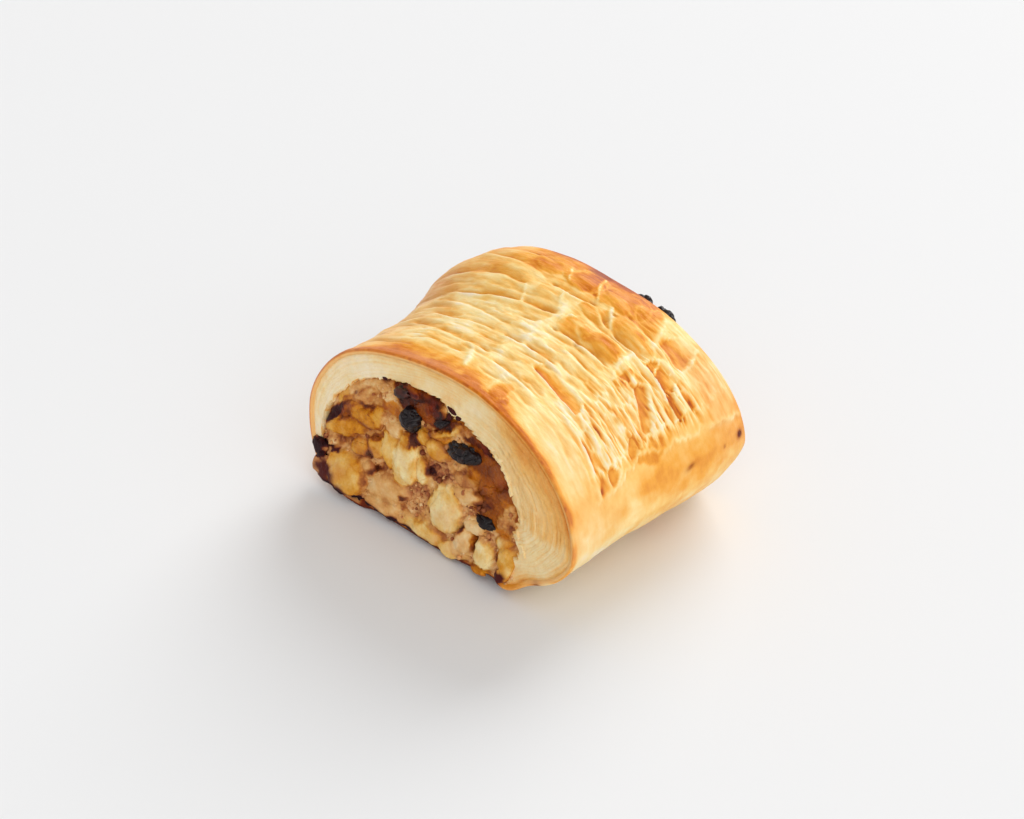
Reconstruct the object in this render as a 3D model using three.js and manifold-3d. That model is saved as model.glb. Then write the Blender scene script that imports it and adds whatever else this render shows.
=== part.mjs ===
// Apple strudel: one thick cut from a baked roll. A laminated pastry jacket, scored with short
// staggered cuts, wraps a tunnel of apple filling that runs right through, with raisins in it.
// Millimetres. X runs across the roll, Y along it from the front cut to the back cut, Z up.
import * as THREE from 'three';
import { mergeVertices } from 'three/addons/utils/BufferGeometryUtils.js';
import Module from 'manifold-3d';

const wasm = await Module();
wasm.setup();

// ---- driving dimensions ----
const HALF_WIDTH = 52;        // of the roll, at its widest
const HEIGHT = 51.5;
const LENGTH = 73;            // along the foot
const WIDEST_Z = 21;          // height of the widest line above the foot
const FRONT_LEAN = 0.18;      // the front cut leans back this much per unit of height
const FRONT_TURN = 0.068;     // and comes forward this much per unit towards the right flank
const FRONT_TURN_X = 9.5;     // from here to the right
const ROLL_DRIFT = -2.2;      // the whole roll wanders left towards its back
const TUNNEL_DRIFT = 8.5;     // and the top of the filling in it wanders right
const GAP = 0.3;              // clearance kept between touching pieces
const FLOOR = 1.2;            // thickness of the bottom sheet

// Scored cuts: axial rows of short cuts that run round the roll, staggered row by row
const CUT_ROWS = 4;
const CUT_FIRST = 60.5;       // arc length from the right foot to the middle of the first row
const CUT_ROW_STEP = 23.5;
const CUT_LENGTH = 27;
const CUT_PITCH = 11.8;
const CUT_HALF_WIDTH = 2.2;
const CUT_DEPTH = 1.3;
const RIM = 5;                // the cuts fade out over this length next to both ends
const FOOT_RISE = 6;          // swells never lift the foot: they act in full from this height

// Mesh steps
const ARCH_STEPS = 48;
const BASE_STEPS = 6;
const LENGTH_STEPS = 34;
const TUNNEL_STEPS = 5;
const CAP_RINGS = 7;
const RAISIN_STEPS = [14, 9];

// ---- sections ----
// Outline of one section, from the right foot over the arch to the left foot: a half ellipse on
// two rounded lower corners. A corner's roundness of 1 is a quarter ellipse, less is squarer.
const CORNER = 0.2;
class Section extends THREE.Curve {
  constructor(shape) {
    super();
    Object.assign(this, shape);
    this.arcLengthDivisions = 600;
  }

  corner(side, turn, point) {
    const { middle, half, widest, floor } = this;
    const foot = side > 0 ? this.rightFoot : this.leftFoot;
    const roundness = side > 0 ? this.rightRoundness : this.leftRoundness;
    const reach = middle + side * half - foot;
    const x = foot + reach * Math.cos(turn) ** roundness;
    const z = widest - (widest - floor) * Math.sin(turn) ** roundness;
    return point.set(x, 0, z);
  }

  getPoint(t, point = new THREE.Vector3()) {
    const { middle, half, widest, top } = this;
    if (t < CORNER) return this.corner(1, (1 - t / CORNER) * Math.PI / 2, point);
    if (t > 1 - CORNER) return this.corner(-1, (1 - (1 - t) / CORNER) * Math.PI / 2, point);
    const angle = (t - CORNER) / (1 - 2 * CORNER) * Math.PI;
    const x = middle + half * Math.cos(angle);
    const z = widest + (top - widest) * Math.sin(angle);
    return point.set(x, 0, z);
  }
}

const crust = new Section({
  middle: 0, half: HALF_WIDTH, widest: WIDEST_Z, top: HEIGHT, floor: 0, topDrift: 0,
  rightFoot: 28, rightRoundness: 1.25, leftFoot: -29, leftRoundness: 0.77,
});
// The tunnel lies off centre. At the front the laminated wall is thick on the right and thin on
// the left.
const tunnel = new Section({
  middle: -7.6, half: 39.5, widest: 11.5, top: 44.6, floor: FLOOR, topDrift: TUNNEL_DRIFT,
  rightFoot: 27, rightRoundness: 1.1, leftFoot: -31, leftRoundness: 0.8,
});

// Swells and pinches of the roll: how far it is pushed out, where round the section (share of
// its arc) and where along the roll, with the spread in each direction.
const swells = [
  { push: 6.2, arc: 0.72, arcSpread: 0.21, y: 59, ySpread: 18.5 },   // back left shoulder
  { push: -1.7, arc: 0.09, arcSpread: 0.12, y: 23, ySpread: 23 },    // right flank
  { push: -3.6, arc: 0.16, arcSpread: 0.2, y: 79, ySpread: 8.7 },    // right end
  { push: 1, arc: 0.49, arcSpread: 0.22, y: 55, ySpread: 20 },       // back
  { push: 0.8, arc: 0.65, arcSpread: 0.06, y: 72, ySpread: 12 },     // back rim, left of the top
  { push: -0.8, arc: 0.48, arcSpread: 0.06, y: 73, ySpread: 10 },    // back rim, at the top
  { push: 1.3, arc: 0.69, arcSpread: 0.08, y: 0, ySpread: 12 },      // front left shoulder
  { push: -1.3, arc: 0.88, arcSpread: 0.05, y: 0, ySpread: 9 },      // front left rim, low down
  { push: -1.2, arc: 0.05, arcSpread: 0.08, y: 0, ySpread: 9 },      // front right corner
];

const bell = (offset, spread) => Math.exp(-((offset / spread) ** 2));

function swellAt(arc, y) {
  let push = 0;
  for (const swell of swells) {
    push += swell.push * bell(arc - swell.arc, swell.arcSpread) * bell(y - swell.y, swell.ySpread);
  }
  return push;
}

function cutDepth(s, y) {
  let depth = 0;
  for (let row = 0; row < CUT_ROWS; row += 1) {
    const along = (s - CUT_FIRST - row * CUT_ROW_STEP) / (CUT_LENGTH / 2);
    const step = (y - (row % 2) * CUT_PITCH / 2) / CUT_PITCH;
    const across = (step - Math.round(step)) * CUT_PITCH;
    if (Math.abs(along) >= 1) continue;
    depth += CUT_DEPTH * Math.sqrt(1 - along * along) * bell(across, CUT_HALF_WIDTH);
  }
  return depth * THREE.MathUtils.clamp(Math.min(y, LENGTH - y) / RIM, 0, 1);
}

// How far a section has moved sideways at the back cut.
function drift(section, z) {
  return ROLL_DRIFT + section.topDrift * z / section.top;
}

function frontY(x, z) {
  return FRONT_LEAN * z - FRONT_TURN * Math.max(0, x - FRONT_TURN_X);
}

// One closed ring of points round a section, a share v of the way from the front to the back.
// inset moves it inwards; scored rings also carry the cuts.
function ring(section, v, inset, scored) {
  const points = [];
  const put = (x, z) => {
    const y = THREE.MathUtils.lerp(frontY(x, z), LENGTH, v);
    points.push(new THREE.Vector3(x + drift(section, z) * v, y, Math.max(section.floor + inset, z)));
  };
  const arcLength = section.getLength();
  for (let i = 0; i <= ARCH_STEPS; i += 1) {
    const arc = i / ARCH_STEPS;
    const t = section.getUtoTmapping(arc);
    const point = section.getPoint(t);
    const tangent = section.getTangent(t);
    let push = swellAt(arc, LENGTH * v);
    if (scored) push -= cutDepth(arc * arcLength, LENGTH * v);
    const rise = THREE.MathUtils.smoothstep(point.z, section.floor, section.floor + FOOT_RISE);
    put(point.x + tangent.z * (push - inset), point.z - tangent.x * (push * rise - inset));
  }
  const left = points[ARCH_STEPS];
  const right = points[0];
  const z = section.floor + inset;
  for (let i = 1; i < BASE_STEPS; i += 1) {
    const x = THREE.MathUtils.lerp(left.x, right.x, i / BASE_STEPS);
    put(x - drift(section, z) * v, z);
  }
  return points;
}

// ---- meshes ----
function geometryOf(points, triangles) {
  const geometry = new THREE.BufferGeometry();
  const position = new THREE.Float32BufferAttribute(points.flatMap((p) => [p.x, p.y, p.z]), 3);
  geometry.setAttribute('position', position);
  geometry.setIndex(triangles);
  return geometry;
}

// Joins ring after ring, in the order that faces outwards when the rings run from front to back.
// Poles close the two ends. Without poles the last ring meets the first, as in a sleeve whose
// inside runs from front to back and whose outside runs back again.
function skinOver(rings, poles) {
  const count = rings[0].length;
  const points = rings.flat();
  const triangles = [];
  const bands = poles ? rings.length - 1 : rings.length;
  for (let r = 0; r < bands; r += 1) {
    for (let i = 0; i < count; i += 1) {
      const next = (i + 1) % count;
      const a = r * count + i;
      const b = r * count + next;
      const c = ((r + 1) % rings.length) * count + i;
      const d = ((r + 1) % rings.length) * count + next;
      if (poles) triangles.push(a, c, b, b, c, d);
      else triangles.push(a, b, c, b, d, c);
    }
  }
  if (poles) {
    const last = (rings.length - 1) * count;
    const front = points.push(poles[0]) - 1;
    const back = points.push(poles[1]) - 1;
    for (let i = 0; i < count; i += 1) {
      const next = (i + 1) % count;
      triangles.push(front, i, next);
      triangles.push(back, last + next, last + i);
    }
  }
  return geometryOf(points, triangles);
}

function solidOf(geometry) {
  const bare = geometry.clone();
  bare.deleteAttribute('normal');
  bare.deleteAttribute('uv');
  const merged = mergeVertices(bare);
  const vertProperties = new Float32Array(merged.attributes.position.array);
  const triVerts = new Uint32Array(merged.index.array);
  return new wasm.Manifold(new wasm.Mesh({ numProp: 3, vertProperties, triVerts }));
}

function geometryFrom(solid) {
  const mesh = solid.getMesh();
  const geometry = new THREE.BufferGeometry();
  geometry.setAttribute('position', new THREE.Float32BufferAttribute(mesh.vertProperties, 3));
  geometry.setIndex([...mesh.triVerts]);
  return geometry;
}

// ---- pastry ----
function pastryGeometry() {
  const rings = [];
  for (let i = 0; i <= TUNNEL_STEPS; i += 1) rings.push(ring(tunnel, i / TUNNEL_STEPS, 0, false));
  for (let i = LENGTH_STEPS; i >= 0; i -= 1) rings.push(ring(crust, i / LENGTH_STEPS, 0, true));
  return skinOver(rings, null);
}

// ---- filling ----
// Apple chunks that stand out of the cut filling: place on the cut, size and how far out.
const chunks = [
  { x: -12, z: 20, width: 14, height: 16, out: 2.2 },
  { x: 4, z: 13, width: 15, height: 16, out: 2.0 },
  { x: 15, z: 7.5, width: 10, height: 9, out: 1.8 },
  { x: 25, z: 7, width: 9, height: 9, out: 2.4 },
  { x: -26, z: 19, width: 12, height: 9, out: 1.6 },
  { x: -36, z: 20.5, width: 14, height: 8, out: 1.6 },
  { x: -35, z: 7.5, width: 17, height: 12, out: 3.0 },
  { x: -17, z: 6, width: 14, height: 8, out: 1.2 },
  { x: 5, z: 26, width: 12, height: 8, out: 1.0 },
];
const FRONT_SINK = 1;         // the cut filling has shrunk back behind the pastry's cut
const RIGHT_SINK = 2.2;       // and further under the thick right wall
const BACK_SINK = 0.5;
const RIM_TURN = 9;           // how sharply the cut filling turns flush at the tunnel's wall

// How far the filling stands out of the plane of the cut. The chunks lie the other way round on
// the back cut.
function fillingOut(x, z, side) {
  const along = side > 0 ? x : 2 * tunnel.middle - x;
  let out = -RIGHT_SINK * THREE.MathUtils.smoothstep(x, 5, 30);
  out -= side > 0 ? FRONT_SINK : BACK_SINK;
  for (const chunk of chunks) {
    const reach = Math.hypot((along - chunk.x) / chunk.width, (z - chunk.z) / chunk.height) * 2;
    if (reach < 1) out += chunk.out * (1 - reach * reach) ** 0.7;
  }
  return out;
}

function fillingSurfaceY(x, z, side) {
  if (side > 0) return frontY(x, z) - fillingOut(x, z, side);
  return LENGTH + fillingOut(x, z, side);
}

// share runs from 0 in the middle of the cut to 1 at the tunnel's wall, where the filling is flush.
function capPoint(rim, middle, share, side) {
  const point = middle.clone().lerp(rim, share);
  const flush = side > 0 ? frontY(point.x, point.z) : LENGTH;
  const surface = fillingSurfaceY(point.x, point.z, side);
  point.y = THREE.MathUtils.lerp(surface, flush, share ** RIM_TURN);
  return point;
}

function fillingGeometry() {
  const front = ring(tunnel, 0, GAP, false);
  const back = ring(tunnel, 1, GAP, false);
  const frontMiddle = new THREE.Vector3(tunnel.middle, 0, tunnel.widest);
  const backMiddle = frontMiddle.clone();
  backMiddle.x += drift(tunnel, tunnel.widest);
  const rings = [];
  for (let r = 1; r <= CAP_RINGS; r += 1) {
    rings.push(front.map((rim) => capPoint(rim, frontMiddle, r / CAP_RINGS, 1)));
  }
  for (let i = 1; i < TUNNEL_STEPS; i += 1) rings.push(ring(tunnel, i / TUNNEL_STEPS, GAP, false));
  for (let r = CAP_RINGS; r >= 1; r -= 1) {
    rings.push(back.map((rim) => capPoint(rim, backMiddle, r / CAP_RINGS, -1)));
  }
  const poles = [capPoint(frontMiddle, frontMiddle, 0, 1), capPoint(backMiddle, backMiddle, 0, -1)];
  return skinOver(rings, poles);
}

// ---- raisins ----
// Place on the cut, full sizes across, up and into the filling, turn in degrees, and how far the
// middle lies outside the filling's face. side is 1 on the front cut and -1 on the back cut.
const raisins = [
  { name: 'raisin_top', side: 1, x: -15.8, z: 38.6, size: [7.4, 6.2, 6.2], turn: 20, out: 0.6 },
  { name: 'raisin_round', side: 1, x: -11.2, z: 32.4, size: [9.6, 8.6, 7.6], turn: 35, out: 0.9 },
  { name: 'raisin_thin', side: 1, x: -0.8, z: 37.2, size: [7.8, 3.8, 5], turn: 30, out: 0.4 },
  { name: 'raisin_long', side: 1, x: 9.2, z: 33, size: [11.6, 7.2, 7.2], turn: 5, out: 0.8 },
  { name: 'raisin_low', side: 1, x: 20, z: 16.2, size: [8.6, 6.4, 6.4], turn: -20, out: 0.5 },
  { name: 'raisin_back_top', side: -1, x: 7.2, z: 44.9, size: [8.2, 9.6, 5], turn: 10, out: 3.6 },
  { name: 'raisin_back_rim', side: -1, x: 15.2, z: 43.8, size: [7.4, 9.6, 5], turn: -12, out: 4.6 },
  { name: 'raisin_back_left', side: -1, x: -19, z: 27, size: [9.4, 7.4, 7], turn: -30, out: 0.8 },
  { name: 'raisin_back_low', side: -1, x: 15, z: 12, size: [8.4, 6.8, 6.6], turn: 40, out: 0.7 },
];
const WRINKLE = 0.07;

// A wrinkled oval berry; grow adds clearance all round.
function raisinGeometry(raisin, grow) {
  const berry = mergeVertices(stripped(new THREE.SphereGeometry(1, ...RAISIN_STEPS)));
  const position = berry.attributes.position;
  const point = new THREE.Vector3();
  const radii = new THREE.Vector3(raisin.size[0], raisin.size[2], raisin.size[1]).multiplyScalar(0.5);
  radii.addScalar(grow);
  for (let i = 0; i < position.count; i += 1) {
    point.fromBufferAttribute(position, i);
    const fold = Math.sin(5 * point.x + raisin.x);
    const dimple = Math.sin(6 * point.z - raisin.z) * Math.cos(4 * point.y);
    point.multiply(radii).multiplyScalar(1 + WRINKLE * 0.5 * (fold + dimple));
    position.setXYZ(i, point.x, point.y, point.z);
  }
  const y = fillingSurfaceY(raisin.x, raisin.z, raisin.side) - raisin.side * raisin.out;
  berry.rotateY(-THREE.MathUtils.degToRad(raisin.turn));
  berry.translate(raisin.x, y, raisin.z);
  return berry;
}

function stripped(geometry) {
  geometry.deleteAttribute('normal');
  geometry.deleteAttribute('uv');
  return geometry;
}

// ---- materials ----
const bakedPastry = new THREE.MeshStandardMaterial({ color: 0xe6b06a, roughness: 0.55, metalness: 0 });
const appleFilling = new THREE.MeshStandardMaterial({ color: 0xcf9a55, roughness: 0.45, metalness: 0 });
const raisinSkin = new THREE.MeshStandardMaterial({ color: 0x2a1b1c, roughness: 0.35, metalness: 0 });

// ---- the strudel ----
const group = new THREE.Group();

function add(name, geometry, material) {
  geometry.computeVertexNormals();
  const mesh = new THREE.Mesh(geometry, material);
  mesh.name = name;
  group.add(mesh);
}

let fillingSolid = solidOf(fillingGeometry());
for (const raisin of raisins) fillingSolid = fillingSolid.subtract(solidOf(raisinGeometry(raisin, GAP)));

add('pastry', pastryGeometry(), bakedPastry);
add('filling', geometryFrom(fillingSolid), appleFilling);
for (const raisin of raisins) add(raisin.name, raisinGeometry(raisin, 0), raisinSkin);

// The origin is the middle of the footprint, on the surface the strudel rests on.
const box = new THREE.Box3().setFromObject(group, true);
const centre = box.getCenter(new THREE.Vector3());
for (const mesh of group.children) mesh.geometry.translate(-centre.x, -centre.y, -box.min.z);

export default group;
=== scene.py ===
"""Looks of the apple strudel: a scored, laminated pastry jacket round apple filling with raisins.

Lengths in this script are millimetres until a mesh is made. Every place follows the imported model:
the roll's form is the one that the CAD's pastry has, moved onto that node's box.
"""
import functools
import itertools
import math

import bmesh
import bpy
import numpy as np
from mathutils import Matrix, Vector


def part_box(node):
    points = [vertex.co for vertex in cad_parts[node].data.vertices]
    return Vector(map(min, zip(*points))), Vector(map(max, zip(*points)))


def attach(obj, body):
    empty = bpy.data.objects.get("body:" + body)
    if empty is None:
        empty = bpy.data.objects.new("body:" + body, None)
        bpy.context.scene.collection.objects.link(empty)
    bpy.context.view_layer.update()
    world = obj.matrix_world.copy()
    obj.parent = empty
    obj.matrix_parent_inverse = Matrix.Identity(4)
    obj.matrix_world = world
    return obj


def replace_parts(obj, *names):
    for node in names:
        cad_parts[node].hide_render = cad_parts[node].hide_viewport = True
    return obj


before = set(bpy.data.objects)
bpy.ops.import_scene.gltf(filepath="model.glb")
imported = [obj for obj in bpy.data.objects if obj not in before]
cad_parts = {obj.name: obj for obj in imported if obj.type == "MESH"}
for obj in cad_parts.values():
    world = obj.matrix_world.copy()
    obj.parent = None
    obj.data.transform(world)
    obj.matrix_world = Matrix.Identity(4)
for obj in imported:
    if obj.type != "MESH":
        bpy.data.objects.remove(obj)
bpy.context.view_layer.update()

MM = 0.001
BODY = "root"
FINE = 1.0


# ---------------------------------------------------------------- numbers that repeat


def smooth(value, low, high):
    share = np.clip((value - low) / (high - low), 0, 1)
    return share * share * (3 - 2 * share)


def bell(offset, spread):
    return np.exp(-((offset / spread) ** 2))


# Rules that give a share from 0 to 1 along one direction, for the tables of places further down.


def near(place, spread):
    return lambda value: bell(value - place, spread)


def rises(low, high):
    return lambda value: smooth(value, low, high)


def falls(low, high):
    return lambda value: 1 - smooth(value, low, high)


def band(rise_low, rise_high, fall_low, fall_high):
    return lambda value: smooth(value, rise_low, rise_high) * (1 - smooth(value, fall_low, fall_high))


def everywhere(_):
    return 1.0


def laid(table, arc, place):
    """Sum of a table's rows: an amount, a rule round the arc and a rule along the roll."""
    return sum(amount * round_arc(arc) * along_roll(place) for amount, round_arc, along_roll in table)


def lattice(seed, *axes):
    """A repeatable random number from 0 to 1 for each whole-number grid point."""
    mixed = np.full(np.broadcast(*axes).shape, seed * 7919 + 17, np.uint32)
    for axis in axes:
        mixed = (mixed ^ axis.astype(np.int64).astype(np.uint32)) * np.uint32(0x9E3779B1)
        mixed ^= mixed >> np.uint32(15)
        mixed *= np.uint32(0x85EBCA77)
        mixed ^= mixed >> np.uint32(13)
    return mixed / 2.0 ** 32


def noise(seed, *coords):
    """Smooth noise from -1 to 1 that turns over about once per unit."""
    coords = np.broadcast_arrays(*coords)
    whole = [np.floor(c) for c in coords]
    part = [c - w for c, w in zip(coords, whole)]
    fade = [p ** 3 * (p * (p * 6 - 15) + 10) for p in part]
    total = 0
    for corner in itertools.product((0, 1), repeat=len(coords)):
        weight = 1
        for amount, step in zip(fade, corner):
            weight = weight * (amount if step else 1 - amount)
        total = total + weight * lattice(seed, *[w + step for w, step in zip(whole, corner)])
    return total * 2 - 1


def layered(seed, octaves, *coords, gain=0.5):
    """Noise with finer and weaker noise on top."""
    total = 0
    for octave in range(octaves):
        total = total + gain ** octave * noise(seed + octave, *[c * 2 ** octave for c in coords])
    return total


def cells(seed, *coords):
    """Distances to the nearest and second nearest of scattered points, and the nearest's own number."""
    coords = np.broadcast_arrays(*coords)
    whole = [np.floor(c) for c in coords]
    nearest = np.full(coords[0].shape, 9.0)
    second = nearest.copy()
    label = nearest.copy()
    for step in itertools.product((-1, 0, 1), repeat=len(coords)):
        cell = [w + k for w, k in zip(whole, step)]
        gap = 0
        for axis, (c, w) in enumerate(zip(coords, cell)):
            gap = gap + (c - w - lattice(seed + 101 * axis, *cell)) ** 2
        closer = gap < nearest
        second = np.where(closer, nearest, np.minimum(second, gap))
        label = np.where(closer, lattice(seed + 999, *cell), label)
        nearest = np.minimum(nearest, gap)
    return np.sqrt(nearest), np.sqrt(second), label


# ---------------------------------------------------------------- the form of the roll

HALF_WIDTH = 52.0
HEIGHT = 51.5
LENGTH = 73.0
WIDEST_Z = 21.0
FLOOR = 1.2
FRONT_LEAN = 0.18
FRONT_TURN = 0.068
FRONT_TURN_X = 9.5
ROLL_DRIFT = -2.2
TUNNEL_DRIFT = 8.5
FOOT_RISE = 6.0
FRONT_TUCK = 1.0        # how far the front right lower corner is pulled in, and where on the arc
TUCK_ARC = 10.0
FRONT_LIFT = 2.2        # how far the front right end of the foot stands off the ground
CORNER = 0.2

SWELLS = (  # push, share of the arc, its spread, place along the roll, its spread
    (6.2, 0.72, 0.21, 59, 18.5),
    (-1.7, 0.09, 0.12, 23, 23),
    (-3.6, 0.16, 0.2, 79, 8.7),
    (1, 0.49, 0.22, 55, 20),
    (0.8, 0.65, 0.06, 72, 12),
    (-0.8, 0.48, 0.06, 73, 10),
    (1.3, 0.69, 0.08, 0, 12),
    (-1.3, 0.88, 0.05, 0, 9),
    (-1.2, 0.05, 0.08, 0, 9),
)


class Section:
    """Outline of a section: a half ellipse on two rounded lower corners, from foot to foot."""

    def __init__(self, middle, half, widest, top, floor, top_drift, right, left):
        self.middle, self.half, self.widest, self.top = middle, half, widest, top
        self.floor, self.top_drift = floor, top_drift
        self.feet = {1: right, -1: left}          # each foot's place and its corner's roundness
        self.steps = np.linspace(0, 1, 4001)
        x, z = self.point(self.steps)
        self.arc = np.concatenate([[0], np.cumsum(np.hypot(np.diff(x), np.diff(z)))])
        self.length = self.arc[-1]

    def point(self, t):
        angle = (np.clip(t, CORNER, 1 - CORNER) - CORNER) / (1 - 2 * CORNER) * math.pi
        x = self.middle + self.half * np.cos(angle)
        z = self.widest + (self.top - self.widest) * np.sin(angle)
        for side, from_foot in ((1, t), (-1, 1 - t)):
            foot, roundness = self.feet[side]
            turn = np.clip(1 - from_foot / CORNER, 0, 1) * math.pi / 2
            reach = self.middle + side * self.half - foot
            inside = from_foot < CORNER
            x = np.where(inside, foot + reach * np.clip(np.cos(turn), 0, 1) ** roundness, x)
            z = np.where(inside, self.widest - (self.widest - self.floor) * np.sin(turn) ** roundness, z)
        return x, z

    def at(self, share):
        """Point and outward normal at a share of the arc length."""
        t = np.interp(share * self.length, self.arc, self.steps)
        x, z = self.point(t)
        x1, z1 = self.point(np.clip(t + 2e-4, 0, 1))
        x0, z0 = self.point(np.clip(t - 2e-4, 0, 1))
        run = np.hypot(x1 - x0, z1 - z0) + 1e-12
        return x, z, (z1 - z0) / run, (x0 - x1) / run


CRUST = Section(0, HALF_WIDTH, WIDEST_Z, HEIGHT, 0, 0, (28, 1.25), (-29, 0.77))
TUNNEL = Section(-7.6, 39.5, 11.5, 42.2, FLOOR, TUNNEL_DRIFT, (27, 1.1), (-31, 0.8))


def front_y(x, z):
    return FRONT_LEAN * z - FRONT_TURN * np.maximum(0, x - FRONT_TURN_X)


def swell_at(share, y):
    return sum(p * bell(share - a, aw) * bell(y - c, cw) for p, a, aw, c, cw in SWELLS)


def roll_point(section, share, along, lift=0.0):
    """Where a share of the section's arc and a share of the length lie, lifted off the surface."""
    x, z, nx, nz = section.at(share)
    rise = smooth(z, section.floor, section.floor + FOOT_RISE)
    push = swell_at(share, LENGTH * along)
    out_x = x + nx * (push + lift)
    out_z = np.maximum(section.floor, z + nz * (push * rise + lift))
    if section is CRUST:
        tuck = FRONT_TUCK * bell(share * section.length - TUCK_ARC, 6) * bell(along, 0.25)
        out_x, out_z = out_x - nx * tuck, out_z - nz * tuck
    y = front_y(out_x, out_z) * (1 - along) + LENGTH * along
    drift = ROLL_DRIFT + section.top_drift * out_z / section.top
    return out_x + drift * along, y, out_z


def roll_shift():
    """Moves the roll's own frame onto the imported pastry."""
    share, along = np.meshgrid(np.linspace(0, 1, 201), np.linspace(0, 1, 41))
    x, y, _ = roll_point(CRUST, share, along)
    low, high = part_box("pastry")
    middle_x = (low.x + high.x) / 2 / MM
    return np.array([middle_x - (x.min() + x.max()) / 2, high.y / MM - y.max(), 0.0])


SHIFT = roll_shift()


# ---------------------------------------------------------------- meshes


def grid_faces(rows, columns, close_rows=False):
    """Quads of a grid whose columns close on themselves; rows run from front to back."""
    row = np.arange(rows if close_rows else rows - 1)[:, None]
    column = np.arange(columns)[None, :]
    after = (column + 1) % columns
    below = (row + 1) % rows
    quads = np.stack(
        [row * columns + column, below * columns + column, below * columns + after, row * columns + after],
        axis=-1,
    )
    return quads.reshape(-1, 4)


def capped_rings(rings):
    """Points and triangles of a closed body from rings, with a pole at each end."""
    rows, columns, _ = rings.shape
    quads = grid_faces(rows, columns)
    column = np.arange(columns)
    after = (column + 1) % columns
    last = (rows - 1) * columns
    faces = np.concatenate([
        quads[:, [0, 1, 2]],
        quads[:, [0, 2, 3]],
        np.stack([np.full(columns, rows * columns), column, after], axis=-1),
        np.stack([np.full(columns, rows * columns + 1), last + after, last + column], axis=-1),
    ])
    return np.concatenate([rings.reshape(-1, 3), [rings[0].mean(axis=0), rings[-1].mean(axis=0)]]), faces


def with_poles(values):
    """Marks of rings in the order of capped_rings."""
    return np.concatenate([values.ravel(), values[0, :1], values[-1, :1]])


def lift_corner(points):
    """Raises the lower part of the roll's front right end, where the pastry curls off the ground."""
    x, y, z = np.asarray(points, float).T
    share = smooth(x, 4, 26) * bell(y / LENGTH, 0.3) * (1 - smooth(z, 3, 24))
    return np.stack([x, y, z + FRONT_LIFT * share], axis=-1)


def make_piece(name, points, faces, material, marks):
    """A smooth-shaded piece from points in millimetres; marks become attributes that its material reads."""
    mesh = bpy.data.meshes.new(name)
    points = (lift_corner(points) + SHIFT) * MM
    mesh.vertices.add(len(points))
    mesh.vertices.foreach_set("co", points.ravel())
    mesh.loops.add(faces.size)
    mesh.loops.foreach_set("vertex_index", faces.ravel().astype(np.int32))
    mesh.polygons.add(len(faces))
    mesh.polygons.foreach_set("loop_start", np.arange(0, faces.size, faces.shape[1], dtype=np.int32))
    mesh.update(calc_edges=True)
    mesh.validate()
    mesh.shade_smooth()
    for key, values in marks.items():
        mesh.attributes.new(key, "FLOAT", "POINT").data.foreach_set("value", np.asarray(values, np.float32))
    mesh.materials.append(material)
    piece = bpy.data.objects.new(name, mesh)
    bpy.context.collection.objects.link(piece)
    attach(piece, BODY)
    return piece


class Heap:
    """Collects small closed bodies that become one piece."""

    def __init__(self):
        self.points, self.faces, self.marks, self.count = [], [], [], 0

    def add(self, points, faces, marks):
        self.points.append(points)
        self.faces.append(faces + self.count)
        self.marks.append({key: np.broadcast_to(value, len(points)) for key, value in marks.items()})
        self.count += len(points)

    def piece(self, name, material, slot):
        marks = {key: np.concatenate([m[key] for m in self.marks]) for key in self.marks[0]}
        points, faces = np.concatenate(self.points), np.concatenate(self.faces)
        return make_piece(name, points, faces, material, marks)


class Shell:
    """Collects rings, each an arch from foot to foot and then an underside, that close as one piece."""

    def __init__(self, arch_count, base_count, underside):
        self.arch_count, self.base_count, self.underside = arch_count, base_count, underside
        self.rings = []
        self.marks = {key: [] for key in underside}

    def add(self, rings, **marks):
        self.rings.append(rings)
        for key, fill in self.underside.items():
            arch = np.broadcast_to(marks.get(key, 0.0), (len(rings), self.arch_count))
            base = np.broadcast_to(fill, (len(rings), self.base_count))
            self.marks[key].append(np.concatenate([arch, base], axis=1))

    def piece(self, name, material, slot):
        points = np.concatenate(self.rings)
        faces = grid_faces(*points.shape[:2], close_rows=True)
        marks = {key: np.concatenate(values).ravel() for key, values in self.marks.items()}
        return make_piece(name, points.reshape(-1, 3), faces, material, marks)


@functools.lru_cache
def sphere(subdivisions):
    """Points and triangles of an even unit sphere."""
    body = bmesh.new()
    bmesh.ops.create_icosphere(body, subdivisions=subdivisions, radius=1)
    points = np.array([v.co for v in body.verts])
    faces = np.array([[v.index for v in f.verts] for f in body.faces])
    body.free()
    return points, faces


# ---------------------------------------------------------------- materials


def srgb(red, green, blue):
    """Linear colour, with alpha, of a colour given from 0 to 255."""
    parts = [((c / 255 + 0.055) / 1.055) ** 2.4 if c > 10 else c / 3295 for c in (red, green, blue)]
    return (*parts, 1)


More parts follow.
